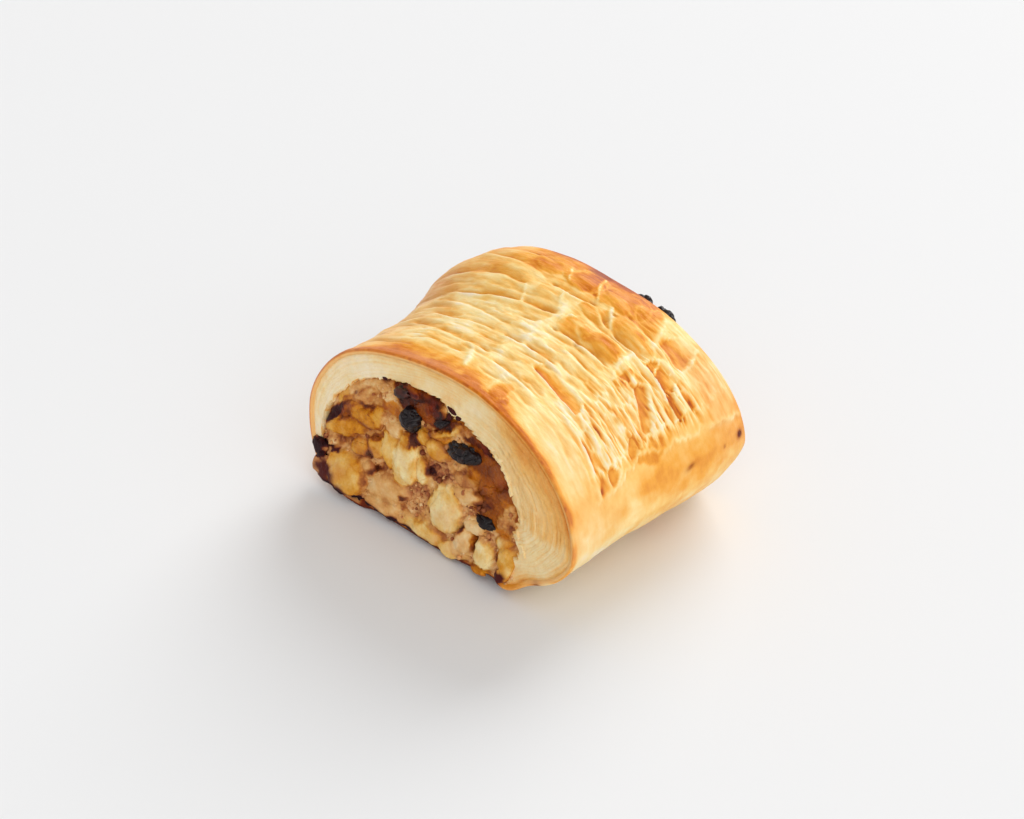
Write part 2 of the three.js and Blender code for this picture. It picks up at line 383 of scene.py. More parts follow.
class Paint:
    """Builds one node material around a Principled shader."""

    def __init__(self, name, rough, specular=0.5, coat=0.0, coat_rough=0.3, scatter=0.0, scatter_size=0.001):
        self.material = bpy.data.materials.new(name)
        self.material.use_nodes = True
        self.nodes, self.links = self.material.node_tree.nodes, self.material.node_tree.links
        self.shader = self.nodes["Principled BSDF"]
        constants = {
            "Roughness": rough,
            "Specular IOR Level": specular,
            "Coat Weight": coat,
            "Coat Roughness": coat_rough,
            "Subsurface Weight": scatter,
            "Subsurface Radius": (1, 0.5, 0.25),
            "Subsurface Scale": scatter_size,
        }
        for socket, constant in constants.items():
            self.shader.inputs[socket].default_value = constant
        self.place = self.nodes.new("ShaderNodeTexCoord").outputs["Object"]

    def mark(self, key):
        node = self.nodes.new("ShaderNodeAttribute")
        node.attribute_name = key
        return node.outputs["Fac"]

    def math(self, operation, first, second):
        node = self.nodes.new("ShaderNodeMath")
        node.operation = operation
        for socket, source in zip(node.inputs, (first, second)):
            if isinstance(source, (int, float)):
                socket.default_value = source
            else:
                self.links.new(source, socket)
        return node.outputs[0]

    def times(self, source, factor):
        """Socket of a source times a factor."""
        return self.math("MULTIPLY", source, factor)

    def plus(self, base, source, factor):
        """Socket of a base plus a source times a factor."""
        return self.math("ADD", base, self.times(source, factor))

    def grain(self, size, detail=3.0, roughness=0.55, stretch=None):
        """Noise of about -0.5 to 0.5, whose lumps are size millimetres across."""
        place = self.place
        if stretch:
            mapping = self.nodes.new("ShaderNodeMapping")
            mapping.inputs["Scale"].default_value = stretch
            self.links.new(place, mapping.inputs["Vector"])
            place = mapping.outputs[0]
        node = self.nodes.new("ShaderNodeTexNoise")
        node.inputs["Scale"].default_value = 1 / (size * MM)
        node.inputs["Detail"].default_value = detail
        node.inputs["Roughness"].default_value = roughness
        self.links.new(place, node.inputs["Vector"])
        return self.math("SUBTRACT", node.outputs["Fac"], 0.5)

    def ramp(self, source, *stops):
        """Colours at places from 0 to 1 along a value."""
        node = self.nodes.new("ShaderNodeValToRGB")
        elements = node.color_ramp.elements
        while len(elements) < len(stops):
            elements.new(0.5)
        for element, (place, colour) in zip(elements, stops):
            element.position = place
            element.color = srgb(*colour)
        self.links.new(source, node.inputs["Fac"])
        return node.outputs["Color"]

    def mix(self, share, first, second):
        """The first colour where the share is 0 and the second, a socket or 0-255 numbers, where it is 1."""
        node = self.nodes.new("ShaderNodeMix")
        node.data_type = "RGBA"
        share_socket, first_socket, second_socket = node.inputs[0], node.inputs[6], node.inputs[7]
        self.links.new(share, share_socket)
        self.links.new(first, first_socket)
        if isinstance(second, tuple):
            second_socket.default_value = srgb(*second)
        else:
            self.links.new(second, second_socket)
        return node.outputs[2]

    def finish(self, colour, bump=None, height=0.0, roughness=None):
        """Links colour, relief of the given height in metres, and roughness."""
        self.links.new(colour, self.shader.inputs["Base Color"])
        if roughness is not None:
            self.links.new(roughness, self.shader.inputs["Roughness"])
        if bump is not None:
            node = self.nodes.new("ShaderNodeBump")
            node.inputs["Distance"].default_value = height
            self.links.new(bump, node.inputs["Height"])
            self.links.new(node.outputs[0], self.shader.inputs["Normal"])
        return self.material


def crust_paint():
    paint = Paint("egg_washed_crust", 0.42, specular=0.12, coat=0.03, coat_rough=0.35, scatter=0.08)
    streaks = paint.grain(1.1, 4, stretch=(0.3, 1, 0.3))
    # this mark holds the browning and also painted light and shade: paler ridges, more golden valleys, a
    # paler low right flank
    bake_and_shading = paint.plus(paint.mark("bake_and_shading"), paint.grain(3.0, 5, 0.65), 0.22)
    bake_and_shading = paint.plus(bake_and_shading, streaks, 0.12)
    colour = paint.ramp(
        bake_and_shading,
        (0.0, (255, 244, 214)),
        (0.16, (255, 230, 164)),
        (0.34, (251, 203, 116)),
        (0.52, (244, 170, 60)),
        (0.70, (220, 128, 22)),
        (0.84, (178, 80, 20)),
        (1.0, (100, 40, 22)),
    )
    colour = paint.mix(paint.mark("rose"), colour, (236, 178, 138))
    colour = paint.mix(paint.mark("shade"), colour, (200, 142, 62))
    charred = paint.ramp(paint.mark("burn"), (0.2, (186, 86, 18)), (0.6, (126, 44, 8)), (1.0, (48, 17, 8)))
    colour = paint.mix(paint.times(paint.mark("burn"), 1.5), colour, charred)
    rough = paint.plus(0.42, paint.grain(3), 0.3)
    bump = paint.plus(paint.grain(0.45, 3), streaks, 2.0)
    return paint.finish(colour, bump, 0.0001, rough)


def crumb_paint():
    paint = Paint("laminated_crumb", 0.62, specular=0.15, scatter=0.12)
    tone = paint.plus(paint.mark("tone"), paint.grain(2.2, 4), 0.2)
    tone = paint.plus(tone, paint.grain(0.5, 3), 0.14)
    colour = paint.ramp(
        tone,
        (0.0, (255, 240, 212)),
        (0.25, (250, 222, 166)),
        (0.5, (245, 188, 106)),
        (0.7, (226, 142, 58)),
        (0.86, (172, 90, 32)),
        (1.0, (84, 38, 20)),
    )
    return paint.finish(colour, paint.plus(paint.grain(0.35, 3), paint.grain(1.1), 1.2), 0.00016)


def filling_paint(name, gloss):
    """Apple, spiced crumb, jelly and charred places, shared by everything in the filling."""
    paint = Paint(name, 0.45, specular=0.12, coat=gloss, coat_rough=0.2, scatter=0.1, scatter_size=0.0015)
    tone = paint.plus(paint.mark("tone"), paint.grain(3.0, 4), 0.3)
    tone = paint.plus(tone, paint.grain(0.8, 3), 0.26)
    apple = paint.ramp(
        tone,
        (0.0, (252, 232, 176)),
        (0.2, (242, 204, 130)),
        (0.4, (230, 172, 76)),
        (0.6, (212, 136, 24)),
        (0.8, (160, 80, 8)),
        (1.0, (84, 30, 10)),
    )
    pulp = paint.ramp(
        tone,
        (0.0, (244, 208, 156)),
        (0.3, (226, 168, 106)),
        (0.6, (176, 106, 64)),
        (0.8, (120, 60, 38)),
        (1.0, (60, 22, 22)),
    )
    jelly = paint.ramp(
        tone,
        (0.0, (236, 156, 50)),
        (0.28, (196, 114, 20)),
        (0.45, (164, 86, 14)),
        (0.62, (136, 64, 6)),
        (0.78, (96, 35, 5)),
        (1.0, (34, 10, 8)),
    )
    jelly = paint.mix(paint.times(paint.grain(5, 2), 1.8), jelly, (150, 50, 32))
    apple = paint.mix(paint.times(paint.grain(7, 3), 1.6), apple, (222, 158, 108))
    colour = paint.mix(paint.mark("crumb"), apple, pulp)
    colour = paint.mix(paint.mark("jelly"), colour, jelly)
    charred = paint.ramp(paint.mark("burn"), (0.3, (150, 62, 22)), (0.7, (96, 30, 22)), (1.0, (42, 12, 18)))
    colour = paint.mix(paint.times(paint.mark("burn"), 1.25), colour, charred)
    rough = paint.plus(0.5, paint.mark("jelly"), -0.2)
    return paint.finish(colour, paint.plus(paint.grain(0.5, 3), paint.grain(1.6), 1.5), 0.00022, rough)


def raisin_paint():
    paint = Paint("raisin_skin", 0.33, specular=0.28, coat=0.08, coat_rough=0.15)
    colour = paint.ramp(
        paint.plus(paint.mark("tone"), paint.grain(1.2, 3), 0.5),
        (0.0, (14, 11, 14)),
        (0.4, (28, 17, 20)),
        (0.7, (48, 26, 24)),
        (1.0, (84, 40, 30)),
    )
    return paint.finish(colour, paint.grain(0.35, 3), 0.00008)


def floor_paint():
    paint = Paint("studio_floor", 0.7)
    grey = paint.plus(0.5, paint.grain(300, 2), 0.02)
    colour = paint.ramp(grey, (0.0, (229, 231, 233)), (1.0, (233, 235, 237)))
    return paint.finish(colour)


# ---------------------------------------------------------------- the crust

SKIN = 1.5              # thickness of the crust's own piece
BASE_SET_BACK = 1.6     # how far the underside stands back from the cuts
LIP_LIFT = 0.4          # how far the scored sheet stands over the smooth flank

# Creases and hollows run along lines of (arc from the right foot, place from the front cut).
# Then come the depth, how far the gentle side reaches to the back, and how golden that side is; that gold is
# painted shade on creases, and partly painted shade on hollows.
CREASES = (
    (((44, 13.3), (52, 14.6), (63, 15.5)), 0.8, 1.3, 0.3),
    (((58, 20.4), (67.5, 23)), 0.6, 1.4, 0.22),
    (((58, 29), (68, 29.8)), 0.6, 1.1, 0.22),
    (((58, 8.3), (65, 8.9)), 0.4, 1.0, 0.12),
    (((73.5, 40.2), (84, 40), (94, 39.3)), 1.2, 1.8, 0.16),
    (((73, 49.4), (84, 49.6), (95, 50.6)), 0.9, 1.2, 0.1),
    (((72, 33.7), (80, 34.3), (88, 34.8)), 0.7, 1.3, 0.12),
    (((69, 51.6), (80, 51.2), (86, 52.2), (90, 54.4)), 1.2, 2.0, 0.14),
    (((83, 27.4), (90, 27), (97, 27.9)), 1.0, 1.6, 0.14),
    (((69, 29.3), (80, 30.3)), 0.6, 1.3, 0.1),
    (((77, 13.3), (88, 14.3), (98, 14.9)), 0.7, 1.4, 0.1),
    (((99, 17.4), (106, 17.2), (114, 18), (124, 20.3), (136, 23.5)), 1.1, 1.8, 0.16),
    (((95, 27.4), (107, 27.3), (113, 28), (122, 27.2), (134, 30)), 1.0, 1.8, 0.1),
    (((103, 31.3), (112, 33), (123, 35), (138, 36.5)), 0.7, 1.4, 0.08),
    (((97, 44.5), (105, 43.5), (115, 41.8), (126, 40.6), (148, 39.3)), 1.4, 2.2, 0.14),
    (((98, 38), (107, 37.4)), 0.8, 1.5, 0.1),
    (((110, 49.3), (123, 50.6), (135, 50), (148, 49)), 1.2, 2.0, 0.18),
    (((107, 54.4), (113, 57), (124, 59.2), (136, 60)), 0.8, 1.8, 0.1),
    (((104, 12.2), (114, 12), (126, 14.8)), 0.7, 1.4, 0.2),
    (((91, 56.2), (100, 54), (108, 54.6)), 1.0, 1.4, 0.14),
    (((76, 8.6), (86, 9.4), (98, 9)), 0.5, 1.4, 0.05),
    (((112, 65), (124, 66), (138, 65)), 0.6, 1.8, 0.1),
    (((120, 7), (134, 8)), 0.6, 1.6, 0.1),
    (((75, 25.5), (84, 24.8), (96, 23.4)), 0.5, 1.2, 0.04),
    (((74, 37.2), (84, 37.4), (97, 36)), 0.4, 1.0, 0.05),
    (((100, 22.6), (110, 23), (122, 24.6)), 0.5, 1.3, 0.05),
    (((101, 47.6), (112, 46), (124, 45.6)), 0.5, 1.2, 0.05),
    (((62, 58.6), (72, 59.6), (86, 60.4)), 0.6, 1.3, 0.08),
)

HOLLOWS = (
    (((58.6, 50.4), (64, 50.9), (69.8, 51.4)), 0.85, 4.4, 0.36),
    (((51, 49.0), (56, 49.3), (61, 50)), 0.7, 1.5, 0.3),
    (((53.0, 35.4), (56, 36.4), (60.5, 39.4), (66.2, 42.4)), 0.9, 3.7, 0.4),
    (((49.6, 27.2), (52.4, 28.4), (55.8, 31)), 0.6, 3.1, 0.34),
    (((46.6, 18.0), (52, 18.5)), 0.5, 2.7, 0.36),
    (((67.6, 18.9), (74, 19.8), (80, 20.6), (87.4, 21.4)), 0.8, 3.8, 0.34),
    (((62.2, 60.2), (67, 60.7), (73, 61.2)), 0.6, 5.6, 0.24),
)

# Puffed places: arc, place, their half sizes, rise and how golden they are.
PILLOWS = (
    (80.5, 44.8, 8.2, 4.0, 0.8, 0.34),
    (91, 43.4, 4.8, 4.4, 0.6, 0.16),
    (80.5, 55.4, 9.4, 4.0, 0.8, 0.24),
    (91, 52.6, 5, 2.6, 0.5, 0.22),
    (102, 63.4, 6, 6.4, 0.7, 0.2),
    (88, 65, 7.4, 6.4, 0.7, 0.16),
    (113, 64, 6, 5.4, 0.6, 0.08),
    (105, 50, 5.4, 2.8, 0.5, 0.08),
    (88.6, 32, 8, 3.2, 0.4, 0.03),
    (107, 34.6, 8, 2.6, 0.4, 0.0),
    (79, 66.6, 4.6, 5, 0.4, 0.18),
    (104, 20.6, 5, 2.6, 0.25, 0.13),
    (92, 21.6, 5, 2.6, 0.2, 0.13),
    (90, 60.6, 6, 3.2, 0.3, 0.16),
    (50, 34, 4.4, 7.5, 0.05, 0.14),
    (48.5, 66, 4, 6, 0.05, 0.1),
    (86.4, 6.2, 3.4, 4.4, 0.25, 0.2),
    (84, 3.4, 3.4, 2.4, 0.2, 0.14),
    (106, 6.4, 6, 3.4, 0.2, 0.1),
    (96, 5.4, 4.4, 3.2, 0.2, 0.08),
    (69.8, 41, 2.3, 4.4, 0.3, 0.26),
)

# The pale bridges between the cuts, as lines of (arc, place), with a half width.
BRIDGES = (
    (((99.5, 70.5), (97, 64), (92.5, 57)), 0.5),
    (((108.5, 66.5), (106, 62), (104, 58.5)), 0.42),
    (((100.6, 55), (98.4, 50), (96.4, 44), (96.6, 37)), 2.0),
    (((101, 53), (99.6, 49), (97.6, 46)), 0.8),
    (((99.4, 37.5), (98.2, 33), (96.6, 29)), 1.8),
    (((100.4, 26.4), (98.8, 22), (97.4, 17.6)), 1.5),
    (((105.4, 16), (102.6, 12), (100.5, 6)), 1.0),
    (((90.6, 13), (89.6, 8), (88.6, 2.5)), 0.9),
    (((88.8, 59.4), (86.2, 55.5), (83.6, 51.5)), 0.8),
    (((76.4, 71.5), (74.4, 64), (71.6, 57)), 1.1),
    (((73.8, 50.4), (73.2, 44), (72.2, 39)), 0.8),
    (((64.6, 71), (63.4, 65), (61.8, 60)), 0.6),
    (((53.6, 44), (52.7, 40), (53.2, 35)), 0.6),
    (((92.4, 48), (94.6, 45), (96.4, 41)), 0.8),
    (((69.0, 57), (67.0, 54), (65.8, 51)), 0.35),
    (((112.6, 50), (110.4, 45), (109, 42)), 0.6),
)

# Small holes, and the scored sheet's lower edge on the right flank, as places of (arc, place).
PITS = ((106, 54.6), (99.5, 54.6), (86.5, 57), (85.9, 38.6), (93.8, 38.9), (93, 27.4), (94, 56.3))
LIP = (
    (45.4, 8),
    (45.5, 13),
    (45.8, 18),
    (48, 25),
    (49.6, 30),
    (47.6, 40),
    (47, 50),
    (46.3, 55.5),
    (45.2, 62.5),
    (43.6, 71),
)
LEFT_LIP = 152.0        # where the scored sheet ends on the other flank


def along_line(s, y, line, taper=3.5):
    """Distance behind a line, and a share that fades at the line's ends."""
    arcs, places = np.array(line, float).T
    fade = smooth(s, arcs[0], arcs[0] + taper) * (1 - smooth(s, arcs[-1] - taper, arcs[-1]))
    return y - np.interp(s, arcs, places), fade


def crease_profile(s, y, line, back, front=0.5):
    """Dip, rim and glow of a sharp valley; steep in front, and a long gentle rise behind. The glow is where
    golden painted shade goes on the rise, which faces away from the key light, and the rim is where a painted
    highlight goes on the lit lip.
    """
    away, fade = along_line(s, y, line)
    reach = np.where(away < 0, front, 1.3 * back)
    dip = np.exp(-np.sqrt((away / reach) ** 2 + 0.03) * 1.15 + 0.2)
    glow = bell(np.where(away < 0.5, (away - 0.5) * 2.5, away - 0.5), 1.5 * back)
    return dip * fade, bell(away + 1.3, 0.8) * fade, glow * fade


def hollow_profile(s, y, line, back, front=0.8):
    """Dip, rim and glow of a rounded valley; golden all over, with a crisp edge. The glow is partly the
    valley's own colour and partly painted shade, and the rim takes a painted highlight.
    """
    away, fade = along_line(s, y, line, 2.4)
    reach = np.abs(away) / np.where(away < 0, front, back) / (0.35 + 0.65 * fade)
    inside = smooth(fade, 0, 0.15)
    dip = (0.45 * (1 - smooth(reach, 0.8, 1.15)) + 0.55 * bell(reach, 0.8)) * inside
    rim = bell(reach - 1.3, 0.22) * inside
    glow = (1 - smooth(reach, 0.82, 1.12)) * (1 - 0.4 * smooth(away / back, 0.2, 1.0))
    glow += 0.22 * noise(39, s / 4, away / 1.3) * bell(reach, 0.8)
    return dip, rim, np.clip(glow, 0, 1.2) * inside


def bridge_profile(s, y, line, half):
    """Share from 0 to 1 of a strand along a line, whose points run from the back to the front."""
    arcs, places = np.array(line[::-1], float).T
    away = s - np.interp(y, places, arcs)
    fade = smooth(y, places[0] - 0.8, places[0] + 1.2) * (1 - smooth(y, places[-1] - 1.2, places[-1] + 0.8))
    return bell(away, half) * fade


def lattice_rows(s, y, pitch, length, seed):
    """Rows of cuts that are set off from row to row, and the bridges between them."""
    row = np.floor(y / pitch + 0.25 * noise(seed, s / 30, y * 0))
    shift = (row % 2) * 0.5 + 0.3 * lattice(seed + 1, row)
    column = np.floor(s / length + shift)
    across = y - (row + 0.35 + 0.2 * lattice(seed + 2, row, column)) * pitch
    across = across - 0.15 * pitch * noise(seed + 3, s * 1.6 / length, row * 3.1)
    part = s / length + shift - column
    depth = lattice(seed + 4, row, column)
    profile = np.where(across < 0, bell(across, 0.13 * pitch), bell(across, 0.4 * pitch))
    dip = profile * band(0.06, 0.22, 0.78, 0.94)(part)
    bridge = bell(part * length - 0.4 * across, 0.04 * length) * bell(across, 0.45 * pitch)
    return dip * depth, bridge


class Ground:
    """Places of the crust (arc from the right foot, place from the front cut) and what is built up on them.

    The lift is in millimetres, and the other things that steps add are shares of about 0 to 1.
    """

    def __init__(self, s, y):
        self.s, self.y = s, y
        self.wave = 0.7 * noise(11, s / 7, y / 5)
        self.ripple = 0.6 * layered(10, 2, s / 2.6, y / 2.4)
        self.lift, self.gold, self.pale, self.shade, self.hollow = (np.zeros_like(s) for _ in range(5))

    def at_least(self, **shares):
        """Raises what is built up so far to the shares given, where it is lower."""
        for key, share in shares.items():
            setattr(self, key, np.maximum(getattr(self, key), share))

    def cut(self, depth, dip, rim, strength):
        self.lift += depth * (0.25 * rim - 0.85 * dip) * strength


def cut_creases(ground):
    """Creases that break off here and there, with painted shade (gold and shade) in and behind them and a
    painted highlight (pale) on their lip.
    """
    broken = 0.5 + 0.7 * smooth(noise(29, ground.s / 4.2, ground.y / 2.6), -0.6, 0.5)
    broken = broken * (1 - 0.45 * smooth(ground.s, 98, 112))
    wavy = ground.y + 0.4 * ground.wave + 0.3 * ground.ripple
    for line, depth, back, tint in CREASES:
        dip, rim, glow = crease_profile(ground.s, wavy, line, back)
        ground.cut(depth, dip, rim, broken)
        ground.at_least(gold=tint * glow, pale=0.3 * rim * broken, shade=0.52 * depth * dip * broken)


def open_hollows(ground):
    """Wide golden openings, where the dough is torn down to a lower layer; their gold is partly painted shade
    and their pale rim is a painted highlight.
    """
    wavy = ground.y + 0.4 * ground.wave + 0.3 * ground.ripple
    for line, depth, back, tint in HOLLOWS:
        dip, rim, glow = hollow_profile(ground.s, wavy, line, back)
        ground.cut(depth, dip, rim, 1.0)
        ground.at_least(gold=tint * glow, pale=0.45 * rim, hollow=glow)


def raise_pillows(ground):
    """Puffed golden places with a pale edge."""
    for arc, place, half_s, half_y, rise, tint in PILLOWS:
        away_s = (ground.s - arc + 1.6 * ground.wave) / half_s
        away_y = (ground.y - place + ground.wave) / half_y
        inside = 1 - away_s ** 2 - away_y ** 2
        dome = inside + 0.5 * ground.ripple
        ground.lift += rise * (0.7 * np.clip(inside, 0, 1) + 0.3 * smooth(dome, 0.0, 0.3))
        pale_edge = 0.35 * smooth(tint, 0.1, 0.2) * bell(dome + 0.12, 0.16)
        ground.at_least(gold=tint * smooth(dome, 0.0, 0.28), pale=pale_edge)


def lay_bridges(ground):
    """Pale stretched strands, which cover gold and shade."""
    s, y = ground.s, ground.y
    strand = smooth(1 - np.abs(layered(20, 2, (s + 0.3 * y) / 1.5, y / 4.5)), 0.3, 0.9)
    patchy = 0.45 + 0.6 * smooth(noise(34, s / 3, y / 3), -0.6, 0.4)
    for line, half in BRIDGES:
        bridge = bridge_profile(s + 0.6 * ground.wave + 0.5 * ground.ripple, y, line, half)
        ground.lift += bridge * (0.2 + 0.3 * strand) * patchy
        ground.at_least(pale=bridge * (0.7 + 0.5 * strand) * patchy)
        ground.gold = ground.gold * (1 - 0.8 * bridge)
        ground.shade = ground.shade * (1 - 0.6 * bridge)


def score_rows(ground):
    """Even rows of cuts on the far side, and finer ones between the creases of the top."""
    s, y = ground.s, ground.y
    far = smooth(s, 122, 136) * (1 - smooth(s, LEFT_LIP - 5, LEFT_LIP))
    top = 0.55 * smooth(s, 70, 80) * (1 - far) * smooth(y, 6, 12) * (1 - 0.75 * smooth(y, 34, 42))
    far_rows = lattice_rows(s, y, 5.9, 27.0, 70)
    top_rows = lattice_rows(s + 2 * ground.wave, y + ground.ripple, 3.4, 11.0, 110)
    for amount, (dip, bridge) in ((far, far_rows), (top, top_rows)):
        ground.lift += amount * (0.2 * bridge - 0.55 * dip)
        # painted shade: gold and shade in the dips of the cuts
        ground.at_least(gold=0.12 * amount * dip, shade=0.65 * amount * dip, pale=0.6 * amount * bridge)


def lay_sheet(ground):
    """The scored sheet stands over both flanks, with a pale line along its lip on the right."""
    s, y = ground.s, ground.y
    arcs, places = np.array(LIP).T
    lip_at = np.interp(y, places, arcs) + 0.6 * noise(12, y / 2.2, s * 0) + 0.3 * noise(24, y / 0.7, s * 0)
    left_end = LEFT_LIP - 0.6 + noise(13, y / 3, y * 0)
    ground.above_lip = s - lip_at
    ground.sheet = smooth(s, lip_at - 0.4, lip_at + 0.5) * smooth(y, 5, 14)
    ground.sheet = ground.sheet * (1 - smooth(s, left_end, LEFT_LIP + 0.8))
    lip_line = bell(ground.above_lip - 0.6, 0.8) * smooth(y, 8, 16)
    ground.lift += LIP_LIFT * (ground.sheet - 0.5) + 0.15 * lip_line
    ground.at_least(pale=0.6 * lip_line * (0.7 + 0.5 * noise(19, s / 3, y / 4)))


def tear_flakes(ground):
    """Terraces and torn shreds over the lip, and fine threads on the whole sheet."""
    s, y, wave = ground.s, ground.y, ground.wave
    closed = smooth(s, 47, 53) * (1 - smooth(s, 66, 80)) * smooth(y, 9, 17) * (1 - 0.7 * smooth(y, 54, 61))
    flaky = closed * (1 - 0.9 * ground.hollow)
    levels = 2.4 * (noise(14, s / 14, (y + 0.4 * wave) / 1.9) + 0.4 * noise(18, s / 5, y / 0.9))
    terrace = np.floor(levels)
    shreds = 1 - np.abs(noise(28, s / 5.5, (y + 0.5 * wave) / 1.05))
    ground.lift += flaky * (0.28 * (terrace + smooth(levels - terrace, 0.6, 0.95)) + 0.2 * shreds ** 3)
    ground.at_least(pale=0.9 * flaky * smooth(shreds, 0.72, 1))
    # painted shade: more gold in the troughs between the shreds
    ground.gold = ground.gold + 0.08 * flaky * smooth(-shreds, -0.6, -0.2)
    threads = layered(38, 2, s / 4.5, (y + 0.5 * wave) / 0.8) * (1 - 0.4 * ground.hollow)
    threads = threads * smooth(ground.above_lip, 0.5, 6) * (1 - smooth(s, LEFT_LIP - 4, LEFT_LIP))
    fibrous = flaky * smooth(s, 44, 50) * (1 - smooth(s, 60, 70))
    ground.lift += (0.035 + 0.03 * flaky + 0.06 * fibrous) * threads
    ground.gold = ground.gold - (0.05 + 0.07 * flaky + 0.1 * fibrous) * threads
    fine = 0.03 + 0.03 * ground.sheet + 0.07 * flaky
    ground.lift += fine * layered(15, 3, s / 3.6, (y + 0.6 * wave) / 1.6, gain=0.6)


def roughen(ground):
    """Broad puffs and fine grain everywhere, small pits, and calm edges at the cuts."""
    s, y, wave = ground.s, ground.y, ground.wave
    puffs = noise(27, s / 7, (y + 0.8 * wave) / 4.2) + 0.3 * noise(25, s / 4.5, (y + wave) / 2.4)
    ground.lift += 0.2 * puffs * (0.25 + 0.75 * ground.sheet)
    ground.lift += 0.3 * noise(16, s / 11, y / 9) + 0.02 * layered(17, 2, s / 1.5, y / 1.2)
    ground.pit = sum(bell(np.hypot(s - arc, (y - place) * 1.3), 0.95) for arc, place in PITS)
    edge = np.maximum(1 - smooth(y, 0, 3.2), smooth(y, LENGTH - 3.2, LENGTH))
    ground.lift = (ground.lift - 0.6 * ground.pit) * (1 - 0.75 * edge)


CRUST_STEPS = (
    cut_creases,
    open_hollows,
    raise_pillows,
    lay_bridges,
    score_rows,
    lay_sheet,
    tear_flakes,
    roughen,
)


def crust_ground(s, y):
    """The crust's form at places, after all steps."""
    ground = Ground(s, y)
    for step in CRUST_STEPS:
        step(ground)
    return ground


# Tables of looks: amount, where round the arc from the right foot, where along the roll from the front cut.

BROWNING_AND_LIGHT = (
    (-0.18, near(99, 38), everywhere),
    (-0.07, near(60, 18), rises(6, 14)),
    (-0.07, rises(104, 114), band(9, 14, 48, 56)),
    (0.09, rises(70, 84), rises(36, 44)),
    (0.28, band(76, 86, 114, 130), rises(56, 62)),
    (0.14, band(76, 86, 114, 130), rises(64, 71)),
    (0.15, near(68, 13), near(65, 7)),
    (0.17, near(51, 6), near(35, 11)),
    (0.09, near(65, 9), near(42, 8)),
    (-0.16, band(44, 54, 72, 84), falls(4, 13)),
    (0.16, falls(40, 48), rises(10, 44)),
    # painted light: the low front of the right flank is made paler, as if lit by light thrown up from the
    # floor
    (-0.14, falls(40, 48), falls(4, 24)),
    (0.02, falls(40, 48), everywhere),
    (0.06, near(41, 7), near(36, 4)),
    (0.06, near(41, 7), rises(45, 50)),
    (-0.08, near(41, 7), near(24, 4)),
)

FRONT_RIM = (
    (0.42, everywhere, near(0, 1)),
    (0.12, rises(86, 96), near(0, 1)),
    (0.2, everywhere, near(0, 3)),
    (0.24, band(54, 68, 110, 126), near(0, 3)),
)

LAST_BROWNING_AND_LIGHT = (
    (-0.05, everywhere, near(LENGTH, 4)),
    (0.05, near(102, 6), near(LENGTH, 4)),
    (0.16, falls(1, 6), everywhere),
    # painted light: the right flank is made paler low down near its foot, as if lit by light thrown up from
    # the floor
    (-0.26, falls(27, 42), everywhere),
    (0.2, rises(194, 201), everywhere),
)

BROWN_SPOTS = (
    (0.09, near(80.5, 2.88), near(46, 1.8)),
    (0.08, near(67, 2.8), near(52.5, 1.4)),
    (0.06, near(101, 2.8), near(67, 4.48)),
)

ROSE = (
    (0.12, near(60, 10), near(36, 20)),
    (0.3, near(55, 14), rises(54, 64)),
    (0.12, near(38, 12), falls(8, 28)),
    (0.24, falls(18, 34), everywhere),
    (0.1, near(39, 9), everywhere),
    (0.08, near(66, 12), near(14, 12)),
    (0.16, near(58, 12), near(5, 7)),
    (0.3, near(112, 15), near(2, 2)),
)

BURNT = (
    (0.5, near(38.6, 0.6), near(62, 0.6)),
    (0.9, near(38.6, 1.4), near(69.8, 1.68)),
    (0.6, near(15, 1.8), near(0, 1.5)),
    (0.8, rises(CRUST.length - 9, CRUST.length - 2), falls(1, 8)),
)
BURNT_STREAK = (39.3, 47.8)     # arc and place of a slanting burnt streak
BURNT_RIDGE = 0.48              # the most that the ridge at the back is burnt
MEAN_BROWN = 0.41
MOST_BROWN = 0.64               # limit of the broad browning, before rims and spots


def crust_relief(s, y):
    """Lift in millimetres, and the marks that the crust's material reads."""
    ground = crust_ground(s, y)
    # painted light and shade: how far each place stands over its neighbours along the roll, which the
    # browning then reads
    around = 0.5 * (crust_ground(s, y - 0.9).lift + crust_ground(s, y + 0.9).lift)
    marks = {
        "bake_and_shading": bake_and_shading_of(ground, np.clip(ground.lift - around, -0.5, 0.4)),
        "burn": burn_of(s, y),
        "rose": laid(ROSE, s, y) + 0.6 * smooth(s, 118, 150) * (0.7 + 0.3 * noise(33, s / 8, y / 8)),
        "shade": np.clip(np.maximum(ground.shade * smooth(s, 66, 84), 0.8 * ground.pit), 0, 0.8),
    }
    return ground.lift, marks


